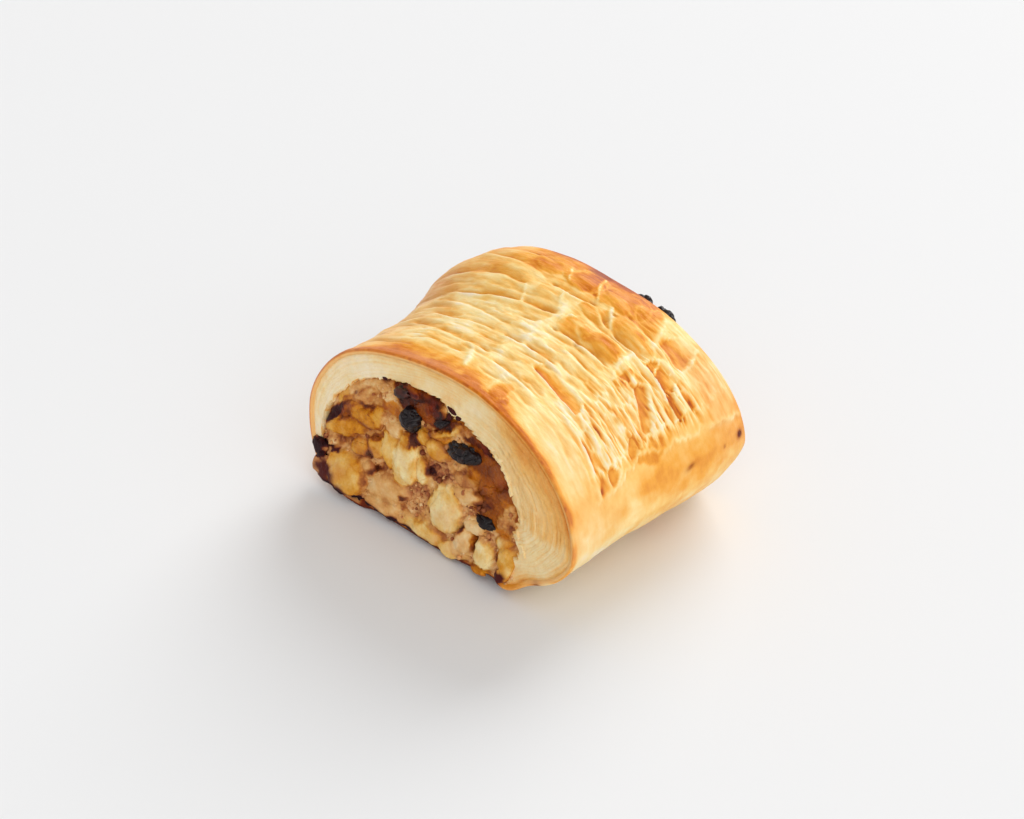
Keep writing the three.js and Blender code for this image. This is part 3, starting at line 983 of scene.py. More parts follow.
def bake_and_shading_of(ground, proud):
    """How browned each place is, from 0 at the stretched bridges to 1 at burnt rims, with painted light and
    shade mixed in: paler ridges, more golden valleys and a paler low right flank.
    """
    s, y, sheet = ground.s, ground.y, ground.sheet
    patches = 1 + 0.5 * noise(36, s / 3.2, y / 2.6)
    front = 0.31 * patches * band(74, 88, 124, 138)(s) * (1 - smooth(y, 5, 11))
    bake_and_shading = MEAN_BROWN + laid(BROWNING_AND_LIGHT, s, y) + ground.gold + front
    bake_and_shading += 0.09 * (1 - smooth(s, 40, 48)) * layered(37, 3, s / 3.5, y / 5)
    bake_and_shading = np.minimum(bake_and_shading, MOST_BROWN + 0.06 * smooth(y, 60, 67) * bell(s - 98, 14))
    bake_and_shading += 0.07 * layered(21, 3, s / 9, y / 6) + 0.07 * layered(26, 2, s / 4, y / 2.7) * sheet
    # painted light and shade: places higher than their neighbours are made paler, lower ones more golden
    bake_and_shading += laid(BROWN_SPOTS, s, y) - 0.4 * proud * (0.3 + 0.7 * sheet)
    bake_and_shading = bake_and_shading * (1 - 0.8 * np.clip(ground.pale, 0, 1))
    uneven = 0.9 + 0.4 * noise(22, s / 6, y * 0) - 0.3 * (1 - smooth(s, 52, 68))
    bake_and_shading += np.minimum(laid(FRONT_RIM, s, y) * uneven, np.maximum(0.74 - bake_and_shading, 0))
    uneven = 0.2 + 0.3 * noise(23, s / 8, y * 0) + 0.3 * bell(s - 103, 9) + 0.5 * smooth(s, 120, 140)
    bake_and_shading += 0.3 * bell(y - LENGTH, 1.4) * uneven + laid(LAST_BROWNING_AND_LIGHT, s, y)
    return np.clip(bake_and_shading, 0.02, 0.86)


def burn_of(s, y):
    """The few nearly black places of the crust."""
    ridge = 0.8 * bell(s - 102, 4.2) * smooth(y, 69.2, 70.8) * (0.8 + 0.6 * noise(31, s / 2.5, y / 1.4))
    away_s, away_y = s - BURNT_STREAK[0], y - BURNT_STREAK[1]
    streak = 0.58 * bell(away_s - 0.2 * away_y, 0.85) * bell(away_y, 1.955)
    return np.clip(np.minimum(ridge, BURNT_RIDGE) + streak + laid(BURNT, s, y), 0, 1)


def around_crust():
    """Arc places of the columns, closer where the surface is finer, then the flat underside."""
    spans = ((0, 36, 0.9), (36, 128, 0.58), (128, CRUST.length, 1.0))
    arcs = [np.arange(start, end, step / FINE) for start, end, step in spans]
    return np.concatenate(arcs + [[CRUST.length]])


def ring_points(section, s, along, lift, base_count, base_lift=0.0):
    """Points of rings: the arch from foot to foot, then the underside back to the first foot.

    The underside stands back a little from the cuts, where the filling hangs over it.
    """
    x, y, z = roll_point(section, s / section.length, along, lift)
    share = np.linspace(0, 1, base_count + 2)[1:-1]
    low_x = x[:, -1:] * (1 - share) + x[:, :1] * share
    low_y = y[:, -1:] * (1 - share) + y[:, :1] * share
    low_z = z[:, -1:] * (1 - share) + z[:, :1] * share + base_lift
    set_back = BASE_SET_BACK * smooth(np.minimum(share, 1 - share), 0.02, 0.1)
    low_y = low_y + set_back * (1 - 2 * along[:, :1])
    grid = [np.concatenate(pair, axis=1) for pair in ((x, low_x), (y, low_y), (z, low_z))]
    return np.stack(grid, axis=-1)


CRUST_ROWS = 280        # rings of the outside, from cut to cut
CRUST_BASE = 26         # points of a ring on the underside
INNER_ROWS = 7          # rings of the hidden inside
RIM_RADIUS = 0.45       # rounding between the crust and its cut side
RIM_STEPS = 5


def rim_rings(arcs, lift, marks, row):
    """Rounded rim and cut side of the skin at one end, from the outside inwards, with their marks."""
    place, sign = (0.0, -1) if row == 0 else (LENGTH, 1)
    s = arcs[None, :]
    golden = bell(arcs - 66, 20)
    low = 1 - smooth(arcs, 4, 16)
    turns = np.linspace(0, math.pi / 2, RIM_STEPS + 1)[1:]
    steps = [(RIM_RADIUS * (1 - math.cos(turn)), RIM_RADIUS * math.sin(turn), 0.0) for turn in turns]
    steps += [(0.8, RIM_RADIUS * 0.9, 0.85), (SKIN, RIM_RADIUS * 0.4, 1.0)]
    for drop, out, fade in steps:
        along = np.full_like(s, (place + sign * out) / LENGTH)
        ring = ring_points(CRUST, s, along, (lift[row] - drop)[None, :], CRUST_BASE, drop)
        cut_bake = 0.34 + 0.2 * golden + 0.3 * low
        ragged = noise(35, s / 1.2, s * 0 + drop + row)
        yield ring, {
            "bake_and_shading": marks["bake_and_shading"][row] * (1 - fade) + cut_bake * fade + 0.06 * ragged,
            "burn": marks["burn"][row] * (1 - 0.5 * fade),
            "rose": marks["rose"][row] * (1 - fade) + (0.4 - 0.3 * golden) * (1 - low) * fade,
        }


def make_crust():
    arcs = around_crust()
    s, y = np.meshgrid(arcs, np.linspace(0, LENGTH, int(CRUST_ROWS * FINE)))
    lift, marks = crust_relief(s, y)
    s_in, y_in = np.meshgrid(arcs, np.linspace(LENGTH - 1, 1, INNER_ROWS))
    shell = Shell(len(arcs), CRUST_BASE, {"bake_and_shading": 0.84, "burn": 0.75, "rose": 0.0, "shade": 0.0})
    shell.add(ring_points(CRUST, s, y / LENGTH, lift, CRUST_BASE), **marks)
    for ring, ring_marks in rim_rings(arcs, lift, marks, -1):
        shell.add(ring, **ring_marks)
    shell.add(ring_points(CRUST, s_in, y_in / LENGTH, s_in * 0 - SKIN, CRUST_BASE, SKIN * 0.55), bake_and_shading=0.3)
    for ring, ring_marks in reversed(list(rim_rings(arcs, lift, marks, 0))):
        shell.add(ring, **ring_marks)
    piece = shell.piece("crust", crust_paint(), "baked_pastry")
    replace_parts(piece, "pastry")


# ---------------------------------------------------------------- the cut pastry

LAYER = 0.75            # thickness of one baked layer of dough
WALL_RECESS = 0.35      # how far the cut dough stands back from the crust's rim
WALL_OVERLAP = 0.25     # how far it reaches into the crust's skin
CRUMB_BASE = 24         # points of a ring on the underside
FRONT_WALL_ROWS = 78    # rings of each cut wall, from the crust to the tunnel
BACK_WALL_ROWS = 46

# Where the cut dough reaches over the filling in ragged flakes: across, up, reach and spread.
OVERHANGS = (
    (23.5, 32, 1.6, 3.2),
    (31, 18, 1.6, 2.6),
    (2.5, 41, 2.6, 3.0),
    (8, 40.6, 2.6, 3.6),
    (13.5, 39.4, 1.8, 3.4),
    (-36, 33, 1.0, 5.0),
)


def wall_look(x, z, depth, share, side):
    """How far the cut wall stands back, and its tone, by distance from the crust."""
    seed = 40 if side > 0 else 60
    outward = x * side
    right = smooth(x, 2, 34) * smooth(z, 8, 24) if side > 0 else 0.7 * smooth(z, 4, 18)
    wander = 0.7 * noise(seed, share * 30, depth / 6) + 0.3 * noise(seed + 1, share * 110, depth / 3)
    layers = depth / LAYER + wander
    index = np.floor(layers)
    off_middle = layers - index - 0.5
    groove = lattice(seed + 2, index) * (0.3 + 0.7 * right) * bell(off_middle, 0.25)
    split = smooth(noise(seed + 3, share * 26 + 7 * index, index * 1.7), 0.3, 0.7) * right

    recess = WALL_RECESS + 0.14 * groove + 0.3 * split * bell(off_middle, 0.2)
    recess += 0.12 * layered(seed + 4, 3, x / 2.2, z / 2.2) + 0.25 * noise(seed + 5, share * 18, depth / 7)
    recess -= 0.28 * (lattice(seed + 6, index) - 0.5) * right

    corner = smooth(outward, 10, 26) * smooth(z, 20, 33)
    calm = 1 - 0.7 * corner
    tone = 0.16 + 0.07 * smooth(outward, -30, 0) + 0.09 * smooth(outward, 18, 32) * smooth(z, 10, 24)
    tone += corner * (0.24 - 0.17 * smooth(depth, 4, 12.5)) + (0.12 + 0.16 * corner) * bell(depth - 0.2, 1.3)
    tone += 0.12 * smooth(outward, -34, -20) * (1 - smooth(depth, 1.0, 4.5)) * (1 - corner)
    tone += calm * (0.13 * groove + 0.12 * split * bell(off_middle, 0.22))
    tone += calm * (0.08 * (lattice(seed + 7, index) - 0.5) + 0.09 * layered(seed + 8, 3, x / 7, z / 5))
    tone += 0.05 * calm * right * layered(seed + 10, 2, share * 16, depth / 0.6)
    brown_line = bell(depth - 3.3, 0.4) * (1 - smooth(outward, -10, 10))
    tone += 0.10 * brown_line * (0.6 + 0.5 * noise(seed + 9, share * 30, z * 0))
    if side > 0:
        tone += 0.08 * bell(np.hypot(x - 26, z - 42.5), 8) + 0.04 * bell(np.hypot((x + 3) / 2, z - 47), 5)
    else:
        tone += 0.14
    return recess, np.clip(tone, 0.04, 0.62 + 0.16 * bell(depth, 1.5))


def overhang(tunnel_ring, share, side):
    """How far the dough reaches over the filling in flakes, round the opening."""
    seed = 50 if side > 0 else 70
    reach = 0.9 * noise(seed, share * 60, share * 0) + 0.5 * noise(seed + 1, share * 170, share * 0)
    if side > 0:
        flakes = 0.6 + 1.1 * np.abs(noise(53, share * 90, share * 0))
        for x, z, length, spread in OVERHANGS:
            away = np.hypot(tunnel_ring[..., 0] - x, tunnel_ring[..., 2] - z)
            reach += bell(away, spread) * length * flakes
    return reach


def filling_stain(x, z, depth, share, side):
    """How brown the filling has stained the dough next to it."""
    streaks = noise(52, share * 40, depth) + 0.5 * noise(54, share * 150, depth)
    top = 0.3 * bell(x * side + 9, 9) * smooth(z, 36, 41)
    return 0.12 + top + 0.3 * smooth(streaks, 0.1, 0.8)


def cut_wall(side, share, ring_count):
    """Rings of one cut wall, from the crust in to the tunnel, and the tones of their arches."""
    along = share * 0 + (0.0 if side > 0 else 1.0)
    s = share * CRUST.length
    lift = crust_ground(s, along * LENGTH).lift
    outer = ring_points(CRUST, s, along, lift - SKIN + WALL_OVERLAP, CRUMB_BASE, 0.5)
    inner = ring_points(TUNNEL, share * TUNNEL.length, along, share * 0, CRUMB_BASE)
    all_share = np.concatenate([share[0], np.linspace(1, 1.4, CRUMB_BASE)])[None, :]
    on_arch = np.arange(outer.shape[1])[None, :] < share.shape[1]

    reach = np.linspace(0, 1, ring_count)[:, None]
    points = outer * (1 - reach[..., None]) + inner * reach[..., None]
    thickness = np.linalg.norm((inner - outer)[..., [0, 2]], axis=-1)
    depth = reach * thickness
    ragged = overhang(inner, all_share, side)
    drawn = smooth(reach, 0.7, 1)
    pull = (inner - outer) / (thickness[..., None] + 1e-9) * (ragged * drawn)[..., None]
    points = points + np.where(on_arch[..., None], pull, 0)
    x, z = points[..., 0], points[..., 2]

    recess, tone = wall_look(x, z, depth, all_share, side)
    rounding = 0.6 * smooth(reach, 0.9, 1) * np.minimum(1, thickness / 5)
    points[..., 1] = front_y(x, z) if side > 0 else LENGTH
    points[..., 1] += side * (recess + rounding) * np.where(on_arch, 1, 0.5)
    near_filling = 1 - smooth(thickness - depth + ragged * (1 - drawn), 0, 1.3)
    tone = tone + near_filling * filling_stain(x, z, depth, all_share, side)
    return points, tone[:, :share.shape[1]]


def tube(section, share, places, lift, base_count, base_lift):
    """Rings of a hidden wall along the roll."""
    along = places[:, None] + share * 0
    s = along * 0 + share * section.length
    return ring_points(section, s, along, along * 0 + lift, base_count, base_lift)


def make_crumb(paint):
    """The laminated dough inside the crust: both cut walls and the tunnel round the filling."""
    arcs = np.append(np.arange(0, CRUST.length, 0.56 / FINE), CRUST.length)
    share = arcs[None, :] / CRUST.length
    shell = Shell(len(arcs), CRUMB_BASE, {"tone": 0.82})
    shell.add(tube(CRUST, share, np.linspace(0.02, 0.98, 5), -SKIN - 0.1, CRUMB_BASE, 0.5), tone=0.3)
    wall, tone = cut_wall(-1, share, int(BACK_WALL_ROWS * FINE))
    shell.add(wall, tone=tone)
    shell.add(tube(TUNNEL, share, np.linspace(0.94, 0.06, 5), 0.0, CRUMB_BASE, 0.0), tone=0.62)
    wall, tone = cut_wall(1, share, int(FRONT_WALL_ROWS * FINE))
    shell.add(wall[::-1], tone=tone[::-1])
    piece = shell.piece("crumb", paint, "baked_pastry")
    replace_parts(piece, "pastry")


# ---------------------------------------------------------------- the filling

RIGHT_SINK = 1.2        # how far the filling's face lies back at the far right
CORE_INSET = 0.5        # how far the heap's body lies behind the pieces on it
CORE_BASE = 76          # points of a ring of the core on the underside
CORE_FRONT_ROWS = 96    # rings of the core's faces, from the middle to the edge
CORE_BACK_ROWS = 56
RAISED = 0.35           # pieces that rise more than this are bodies of their own
GRAIN_TRIES = ((1, 3000), (-1, 1800))   # places tried for loose crumbs on each cut

APPLE, PULP, CRUMB, JELLY = range(4)
SHARES = {APPLE: (0.0, 0.0), PULP: (0.7, 0.0), CRUMB: (1.0, 0.0), JELLY: (0.0, 1.0)}    # spiced, jellied

# What shows in the front cut, from the back to the top of the heap: kind, across, up,
# half width, half height, turn in degrees, tone from pale to dark, and rise in millimetres.
FRONT_FRUIT = (
    (PULP, -28, 24, 20, 7, 20, 0.5, 0.0),
    (PULP, -8, 14, 14, 13, 0, 0.42, 0.0),
    (JELLY, -9, 39.2, 13, 5, -2, 0.8, 0.0),
    (JELLY, 21, 28, 13, 13, 20, 0.6, 0.0),
    (PULP, -33, 34.5, 9, 3.4, 36, 0.26, 0.1),
    (PULP, -25.5, 37, 5, 2.6, 20, 0.42, 0.3),
    (APPLE, -39.3, 29.2, 3.2, 2.1, 40, 0.5, 0.3),
    (PULP, -30.5, 32, 5.6, 2.4, 34, 0.4, 0.4),
    (PULP, -27, 33.4, 2.8, 1.5, 20, 0.66, 0.3),
    (JELLY, -23, 32.5, 1.9, 1.6, 0, 0.46, 0.3),
    (PULP, -21.4, 35.6, 3.2, 2.0, 0, 0.3, 0.3),
    (JELLY, -19, 33, 2.8, 2.3, 0, 0.22, 0.3),
    (APPLE, -36, 27, 5.2, 2.4, 34, 0.74, 0.6),
    (APPLE, -29.2, 26.8, 6.6, 3.2, 12, 0.62, 0.9),
    (APPLE, -24.6, 28.8, 2.8, 2.6, 0, 0.52, 0.6),
    (PULP, -30, 22.6, 4.6, 1.6, 30, 0.62, -0.1),
    (APPLE, -37.3, 20.6, 8.6, 2.9, 18, 0.52, 1.1),
    (APPLE, -24, 19.4, 4.4, 3.2, 14, 0.46, 0.7),
    (APPLE, -24.2, 23, 3.8, 1.1, 24, 0.92, 0.2),
    (PULP, -36, 16.3, 7.2, 1.4, 18, 0.68, -0.3),
    (APPLE, -30.6, 16.9, 3.8, 2.3, 20, 0.55, 0.7),
    (PULP, -26.6, 16.6, 2.0, 1.3, 30, 0.84, -0.3),
    (PULP, -41.6, 13.2, 2.8, 1.4, 10, 0.26, 0.3),
    (PULP, -27.4, 11.6, 3.4, 3.2, 20, 0.28, 0.6),
    (APPLE, -34.2, 7.6, 8.2, 6.1, -6, 0.36, 2.0),
    (PULP, -19, 9, 8.6, 4.8, 10, 0.26, 0.9),
    (PULP, -17.6, 4.3, 9.6, 2.9, 0, 0.34, 0.6),
    (PULP, -23.4, 13.3, 5.2, 0.8, 34, 0.84, -0.5),
    (PULP, -26.8, 8, 0.8, 2.6, 10, 0.72, -0.4),
    (APPLE, -19.4, 21.4, 3.3, 5.4, 4, 0.34, 0.8),
    (PULP, -18.4, 28, 4.4, 3.0, 0, 0.2, 0.7),
    (APPLE, -12.4, 20.6, 5.0, 6.9, -8, 0.10, 1.5),
    (APPLE, -7, 20.2, 2.5, 3.7, 10, 0.2, 0.8),
    (APPLE, -13.4, 27.2, 3.4, 1.8, 20, 0.55, 0.7),
    (JELLY, -12.4, 40.4, 6.2, 1.4, -2, 0.97, 0.4),
    (JELLY, -8, 37.4, 3.8, 3.0, 0, 0.68, 0.5),
    (JELLY, -3, 38.4, 2.6, 2.4, 20, 0.86, 0.4),
    (PULP, -9.6, 28.4, 2.8, 1.7, 0, 0.96, 0.4),
    (PULP, -5.4, 26, 2.6, 2.0, 0, 0.6, 0.2),
    (JELLY, -4.2, 32.4, 4.2, 1.3, 4, 0.5, 0.5),
    (JELLY, 0.4, 33.2, 2.8, 1.1, 20, 0.2, 0.5),
    (JELLY, 10, 37.2, 6.5, 2.4, -4, 0.74, 0.2),
    (PULP, 5.0, 36.6, 3.2, 1.1, 14, 0.56, 0.2),
    (APPLE, 0.0, 34.8, 4.4, 1.0, 26, 0.4, 0.6),
    (APPLE, -7.4, 30.4, 2.7, 2.3, 0, 0.5, 0.4),
    (APPLE, -1.4, 28.8, 4.8, 3.0, -2, 0.42, 0.9),
    (PULP, 5.4, 26.6, 5.2, 2.0, 4, 0.42, 0.3),
    (PULP, 9.4, 24.8, 4.8, 2.5, 6, 0.5, 0.4),
    (CRUMB, -0.6, 22.6, 4.8, 3.3, -4, 0.68, 0.0),
    (CRUMB, -3, 22.2, 1.9, 1.9, 0, 0.94, -0.4),
    (PULP, 9.6, 20.4, 5.4, 2.7, 12, 0.22, 0.6),
    (CRUMB, -7.2, 13.4, 4.2, 3.3, 10, 0.52, 0.0),
    (CRUMB, -8.2, 9.2, 4.2, 2.5, 14, 0.36, 0.1),
    (PULP, -11.8, 9.3, 0.8, 1.2, 0, 0.95, -0.5),
    (APPLE, 3, 13.4, 5.5, 6.3, -8, 0.12, 1.6),
    (APPLE, -3.6, 3.8, 8.2, 2.6, 2, 0.26, 0.7),
    (APPLE, 7.4, 3.0, 5.4, 2.6, 4, 0.26, 0.6),
    (PULP, 13.8, 12.8, 4.6, 3.0, 8, 0.16, 0.7),
    (PULP, 10.6, 6.8, 3.4, 4.4, 0, 0.2, 0.8),
    (PULP, 9.6, 10.8, 2.4, 0.7, 52, 0.9, -0.6),
    (APPLE, 14.4, 7, 1.3, 3.5, 12, 0.86, -1.8),
    (APPLE, 19.0, 5.8, 3.6, 4.7, 0, 0.1, 1.3),
    (APPLE, 24.8, 11.8, 3.0, 2.8, 10, 0.36, 0.7),
    (APPLE, 27.3, 7.2, 3.3, 4.2, 20, 0.34, 1.3),
    (PULP, 15.2, 19.8, 3.0, 1.5, 0, 0.86, 0.1),
    (PULP, 27, 20.6, 2.9, 4.9, 12, 0.56, 0.3),
    (JELLY, 28.4, 21.6, 0.7, 3.6, 14, 0.6, 0.6),
    (PULP, 23.4, 17.8, 2.6, 2.2, 0, 0.62, 0.3),
    (JELLY, 24, 15, 3.2, 1.6, 0, 0.28, 0.3),
    (JELLY, 23.5, 25.4, 4.6, 2.3, 20, 0.48, 0.5),
    (JELLY, 17.6, 25.6, 3.8, 2.0, 18, 0.5, 0.6),
    (JELLY, 11.8, 27.2, 2.6, 1.7, 0, 0.36, 0.3),
    (JELLY, 19.4, 31.2, 4.6, 3.9, 20, 0.6, 0.4),
    (JELLY, 15.6, 35.2, 4.4, 1.2, -6, 0.95, 0.3),
    (JELLY, 24.2, 7, 0.8, 1.7, 4, 0.72, 1.4),
    (APPLE, 18.4, 1.3, 3.6, 1.2, 0, 0.68, 0.6),
    (JELLY, 31.8, 12.8, 1.8, 2.6, 0, 0.76, -2.2),
    (PULP, 7.5, 40.2, 9.5, 2.3, -9, 0.3, -1.6),
)

# Burnt places of the front cut: across, up, half width, half height, turn and how burnt.
FRONT_BURNT = (
    (-46.2, 10.6, 3.6, 3.8, 10, 1.0),
    (-42.8, 5.4, 4.9, 3.2, -14, 0.8),
    (26.8, 2.9, 2.5, 2.1, 20, 0.85),
    (-36.5, 1.6, 6.4, 2.6, -8, 0.95),
    (-40, 5.0, 2.6, 3.4, 30, 0.5),
    (-41, 12.4, 4.6, 0.8, 14, 0.9),
    (-42.2, 22.6, 7.4, 1.7, 47, 0.95),
    (-36.6, 28.4, 2.6, 0.8, 42, 0.6),
    (-4.2, 0.9, 3.4, 1.2, 0, 0.9),
    (10.6, 1.0, 3.6, 0.7, 12, 0.85),
    (-14.6, 40.4, 4.6, 1.0, 2, 0.8),
    (-34.6, 31.8, 1.8, 0.6, 40, 0.6),
    (-24.6, 39.2, 2.4, 0.6, 12, 0.6),
    (33.0, 13.2, 1.3, 2.0, -10, 0.9),
)
BURNT_LUMPS = 3         # how many of them are also lumps that stand out

BACK_BURNT = (
    (-30, 22, 5, 1.4, 30, 0.8),
    (26, 3, 4, 1.6, 0, 0.9),
    (10, 38, 6, 1.2, 0, 0.8),
    (-20, 1, 6, 1.2, 0, 0.9),
)

# Small things on the cut dough round the front opening: across, up, half length and turn.
DARK_BITS = (
    (1.2, 41.4, 1.7, -26),
    (3.8, 40.5, 1.3, 8),
    (0.6, 39.6, 1.1, -50),
    (-24.4, 40.3, 1.1, 6),
)
DOUGH_SHREDS = (
    (22.6, 33.8, 2.0, -38),
    (24.4, 31.8, 2.2, -55),
    (25.9, 29.4, 1.6, -70),
    (30.4, 18.4, 1.8, -70),
    (31.8, 16.0, 1.6, -30),
    (33.0, 15.0, 1.4, -80),
    (20.0, 35.8, 1.8, -25),
    (16.6, 37.6, 1.6, -10),
    (33.6, 13.6, 1.3, -86),
)

BACK_PIECES = 70        # pieces in the back cut, of which the first are large
BACK_LARGE = 16
BACK_TRIES = 2400       # places tried for them


def rotated(across, up, degrees):
    angle = math.radians(degrees)
    return (
        across * math.cos(angle) - up * math.sin(angle),
        across * math.sin(angle) + up * math.cos(angle),
    )


def ellipse_reach(x, z, middle_x, middle_z, half_x, half_z, degrees):
    """Distance from the middle of a turned ellipse, where 1 is its edge."""
    across, up = rotated(x - middle_x, z - middle_z, -degrees)
    return np.hypot(across / half_x, up / half_z)


def burnt_at(x, z, side):
    """How burnt the filling is at a place of a cut."""
    total = smooth(-z - 0.7 * noise(80, x / 3, z * 0), -3.4, -2.3) * (1 - smooth(x, -3, 0))
    wobble = 0.25 * noise(81, x / 1.4, z / 1.4)
    for *ellipse, strength in FRONT_BURNT if side > 0 else BACK_BURNT:
        reach = ellipse_reach(x, z, *ellipse)
        total = np.maximum(total, strength * (1 - smooth(reach + wobble, 0.6, 1.15)))
    return np.clip(total, 0, 1)


def wandered(seed, x, z):
    """Offset that makes the outlines of pieces of fruit uneven."""
    parts = ((0.8, seed, 4.2), (0.5, seed + 2, 1.6), (0.22, seed + 12, 0.7))
    return sum(amount * noise(part_seed, x / size, z / size) for amount, part_seed, size in parts)


def filling_look(x, z, side, fruit):
    """Rise of the filling's face, and the marks of its material, at places of a cut."""
    x_warped, z_warped = x + wandered(82, x, z), z + wandered(83, x, z)
    ring_shade = 0.5 + 0.5 * noise(88, x / 3, z / 3)
    rise, tone, spiced, jellied = np.zeros_like(x), np.full_like(x, 0.4), np.ones_like(x), np.zeros_like(x)
    for kind, *ellipse, shade, height in fruit:
        half = min(ellipse[2:4])
        reach = ellipse_reach(x_warped, z_warped, *ellipse)
        soft = min(0.4, 0.4 / half)
        cover = 1 - smooth(reach, 1.03 - soft, 1.03 + soft)
        solid = kind in (APPLE, PULP) and height > RAISED
        dome = (0.5 if solid else 0.1) * (0.6 - reach ** 2)
        # painted shade: raised pieces get darker towards their edges, where they curve away
        edge_shade = 0.1 * smooth(reach, 0.6, 1.0) if solid else 0
        rise = rise * (1 - cover) + cover * (height + dome)
        tone = tone * (1 - cover) + cover * (shade + edge_shade)
        spiced = spiced * (1 - cover) + cover * SHARES[kind][0]
        jellied = jellied * (1 - cover) + cover * SHARES[kind][1]
        # painted shade: a dark ring round each raised piece, where it meets the lower filling
        if solid:
            tone = tone + 0.26 * ring_shade * bell((reach - 1.02) * half, 0.38)
    tone = np.clip(tone + 0.14 * layered(86, 3, x / 3.0, z / 3.0), 0.02, 0.98)
    return rise, {"tone": tone, "crumb": spiced, "jelly": jellied, "burn": burnt_at(x, z, side)}


def drift_at(z):
    """How far the tunnel's places at the back cut lie beside those at the front."""
    return ROLL_DRIFT + TUNNEL_DRIFT * z / TUNNEL.top


def to_face(x, z, out, side):
    """Roll points of places on a cut; out is the distance in front of it."""
    if side > 0:
        return np.stack([x, front_y(x, z) - out, z], axis=-1)
    return np.stack([2 * TUNNEL.middle - x + drift_at(z), LENGTH + out, z], axis=-1)


def sink_at(x):
    """How far the filling's face lies back towards the right."""
    return RIGHT_SINK * smooth(x, 5, 30)


def base_out(x, z):
    """How far the filling stands in front of the cut: sunk at the right, flush at the bottom."""
    return 0.5 - (sink_at(x) + 0.8) * smooth(z, 0, 8)


def faceted_ball(rng, detail, sides, power):
    """Points and triangles of a unit ball pressed between flat sides."""
    directions, faces = sphere(detail)
    normals = rng.normal(size=(sides, 3))
    normals /= np.linalg.norm(normals, axis=1)[:, None]
    reach = rng.uniform(0.74, 1.0, sides)
    pressed = np.clip(directions @ normals.T, 0, None) / reach
    radius = 1 / (np.sum(pressed ** power, axis=1) + 0.75 ** power) ** (1 / power)
    return directions * np.minimum(radius, 1.15)[:, None], faces


def lump(rng, detail, place, side, fruit, depth=None, sides=9, power=9.0, rough=0.4, flat=0.12, bulge=0.45):
    """Points, faces and marks of a piece of fruit between flat sides, cut off nearly level with the face."""
    x, z, half_x, half_z, degrees, out = place
    depth = depth or min(half_x, half_z)
    body, faces = faceted_ball(rng, detail, sides, power)
    offset = rng.uniform(0, 90)
    body = body * np.array([half_x, depth, half_z])
    across, inward, up = body.T
    coarse, fine = ([axis / size + offset for axis in body.T] for size in (2.6, 0.9))
    ripple = noise(90, *coarse) + 0.4 * noise(91, *fine)
    grown = 1 + rough * ripple / max(1.5, min(half_x, half_z))
    turned_x, turned_z = rotated(across, up, degrees)
    px, pz = x + turned_x * grown, np.maximum(z + turned_z * grown, 0.3 + 0.15 * (ripple + 1))
    edge = np.hypot(across / half_x, up / half_z)
    tilt = rng.uniform(-0.09, 0.09, 2)
    limit = base_out(px, pz) + out - bulge * edge ** 5 + tilt[0] * across + tilt[1] * up
    limit += 0.2 * ripple + 0.12 * noise(92, across / 0.6 + offset, up / 1.6)
    level = base_out(np.array(x), np.array(z)) + out - 0.5 * depth - inward
    level = np.where(level > limit, limit + flat * (level - limit), level)
    return to_face(px, pz, level, side), faces, filling_look(px, pz, side, fruit)[1]


def inside_tunnel(x, z, margin):
    """Whether a place of the cut lies in the tunnel, a margin from its edge."""
    edge_x, edge_z, _, _ = TUNNEL.at(np.linspace(0, 1, 200))
    above = edge_z > z + margin * 0.6
    if z < margin or not above.any():
        return False
    return edge_x[above].min() + margin < x < edge_x[above].max() - margin


def scattered_places(rng):
    """Middles and half sizes of pieces that lie close together in the back cut, large ones first."""
    placed = []
    for _ in range(BACK_TRIES):
        x, z = rng.uniform(-46, 31), rng.uniform(2.5, 40)
        large = len(placed) < BACK_LARGE
        half = rng.uniform(4.5, 7.5) if large else rng.uniform(2.0, 4.0)
        spacing = 0.84 if large else 0.64
        if len(placed) < BACK_PIECES and inside_tunnel(x, z, 0.8):
            gaps = [math.hypot(x - a, (z - b) * 1.25) - spacing * (half + other) for a, b, other in placed]
            if min(gaps, default=1) > 0:
                placed.append((x, z, half))
    return placed


def back_fruit():
    """What shows in the back cut, in the form of the front cut's table."""
    rng = np.random.default_rng(7)
    shapes = [(PULP, -8, 16, 42, 30, 0, 0.5, 0.0), (JELLY, 12, 34, 16, 10, -20, 0.7, 0.0)]
    for x, z, half in scattered_places(rng):
        jelly_here = 0.12 + 0.6 * float(bell(math.hypot(x - 12, z - 32), 10))
        kind = JELLY if rng.random() < jelly_here else (APPLE, APPLE, PULP, PULP, CRUMB)[rng.integers(5)]
        tone = float(np.clip(rng.normal(0.55 if kind == JELLY else 0.34, 0.16), 0.08, 0.9))
        rise = rng.uniform(0.5, 1.4) if kind in (APPLE, PULP) else 0.2
        half_x = 1.15 * half
        half_z = half_x * rng.uniform(0.6, 0.85)
        shapes.append((kind, x, z, half_x, half_z, rng.uniform(-35, 45), tone, rise))
    return shapes


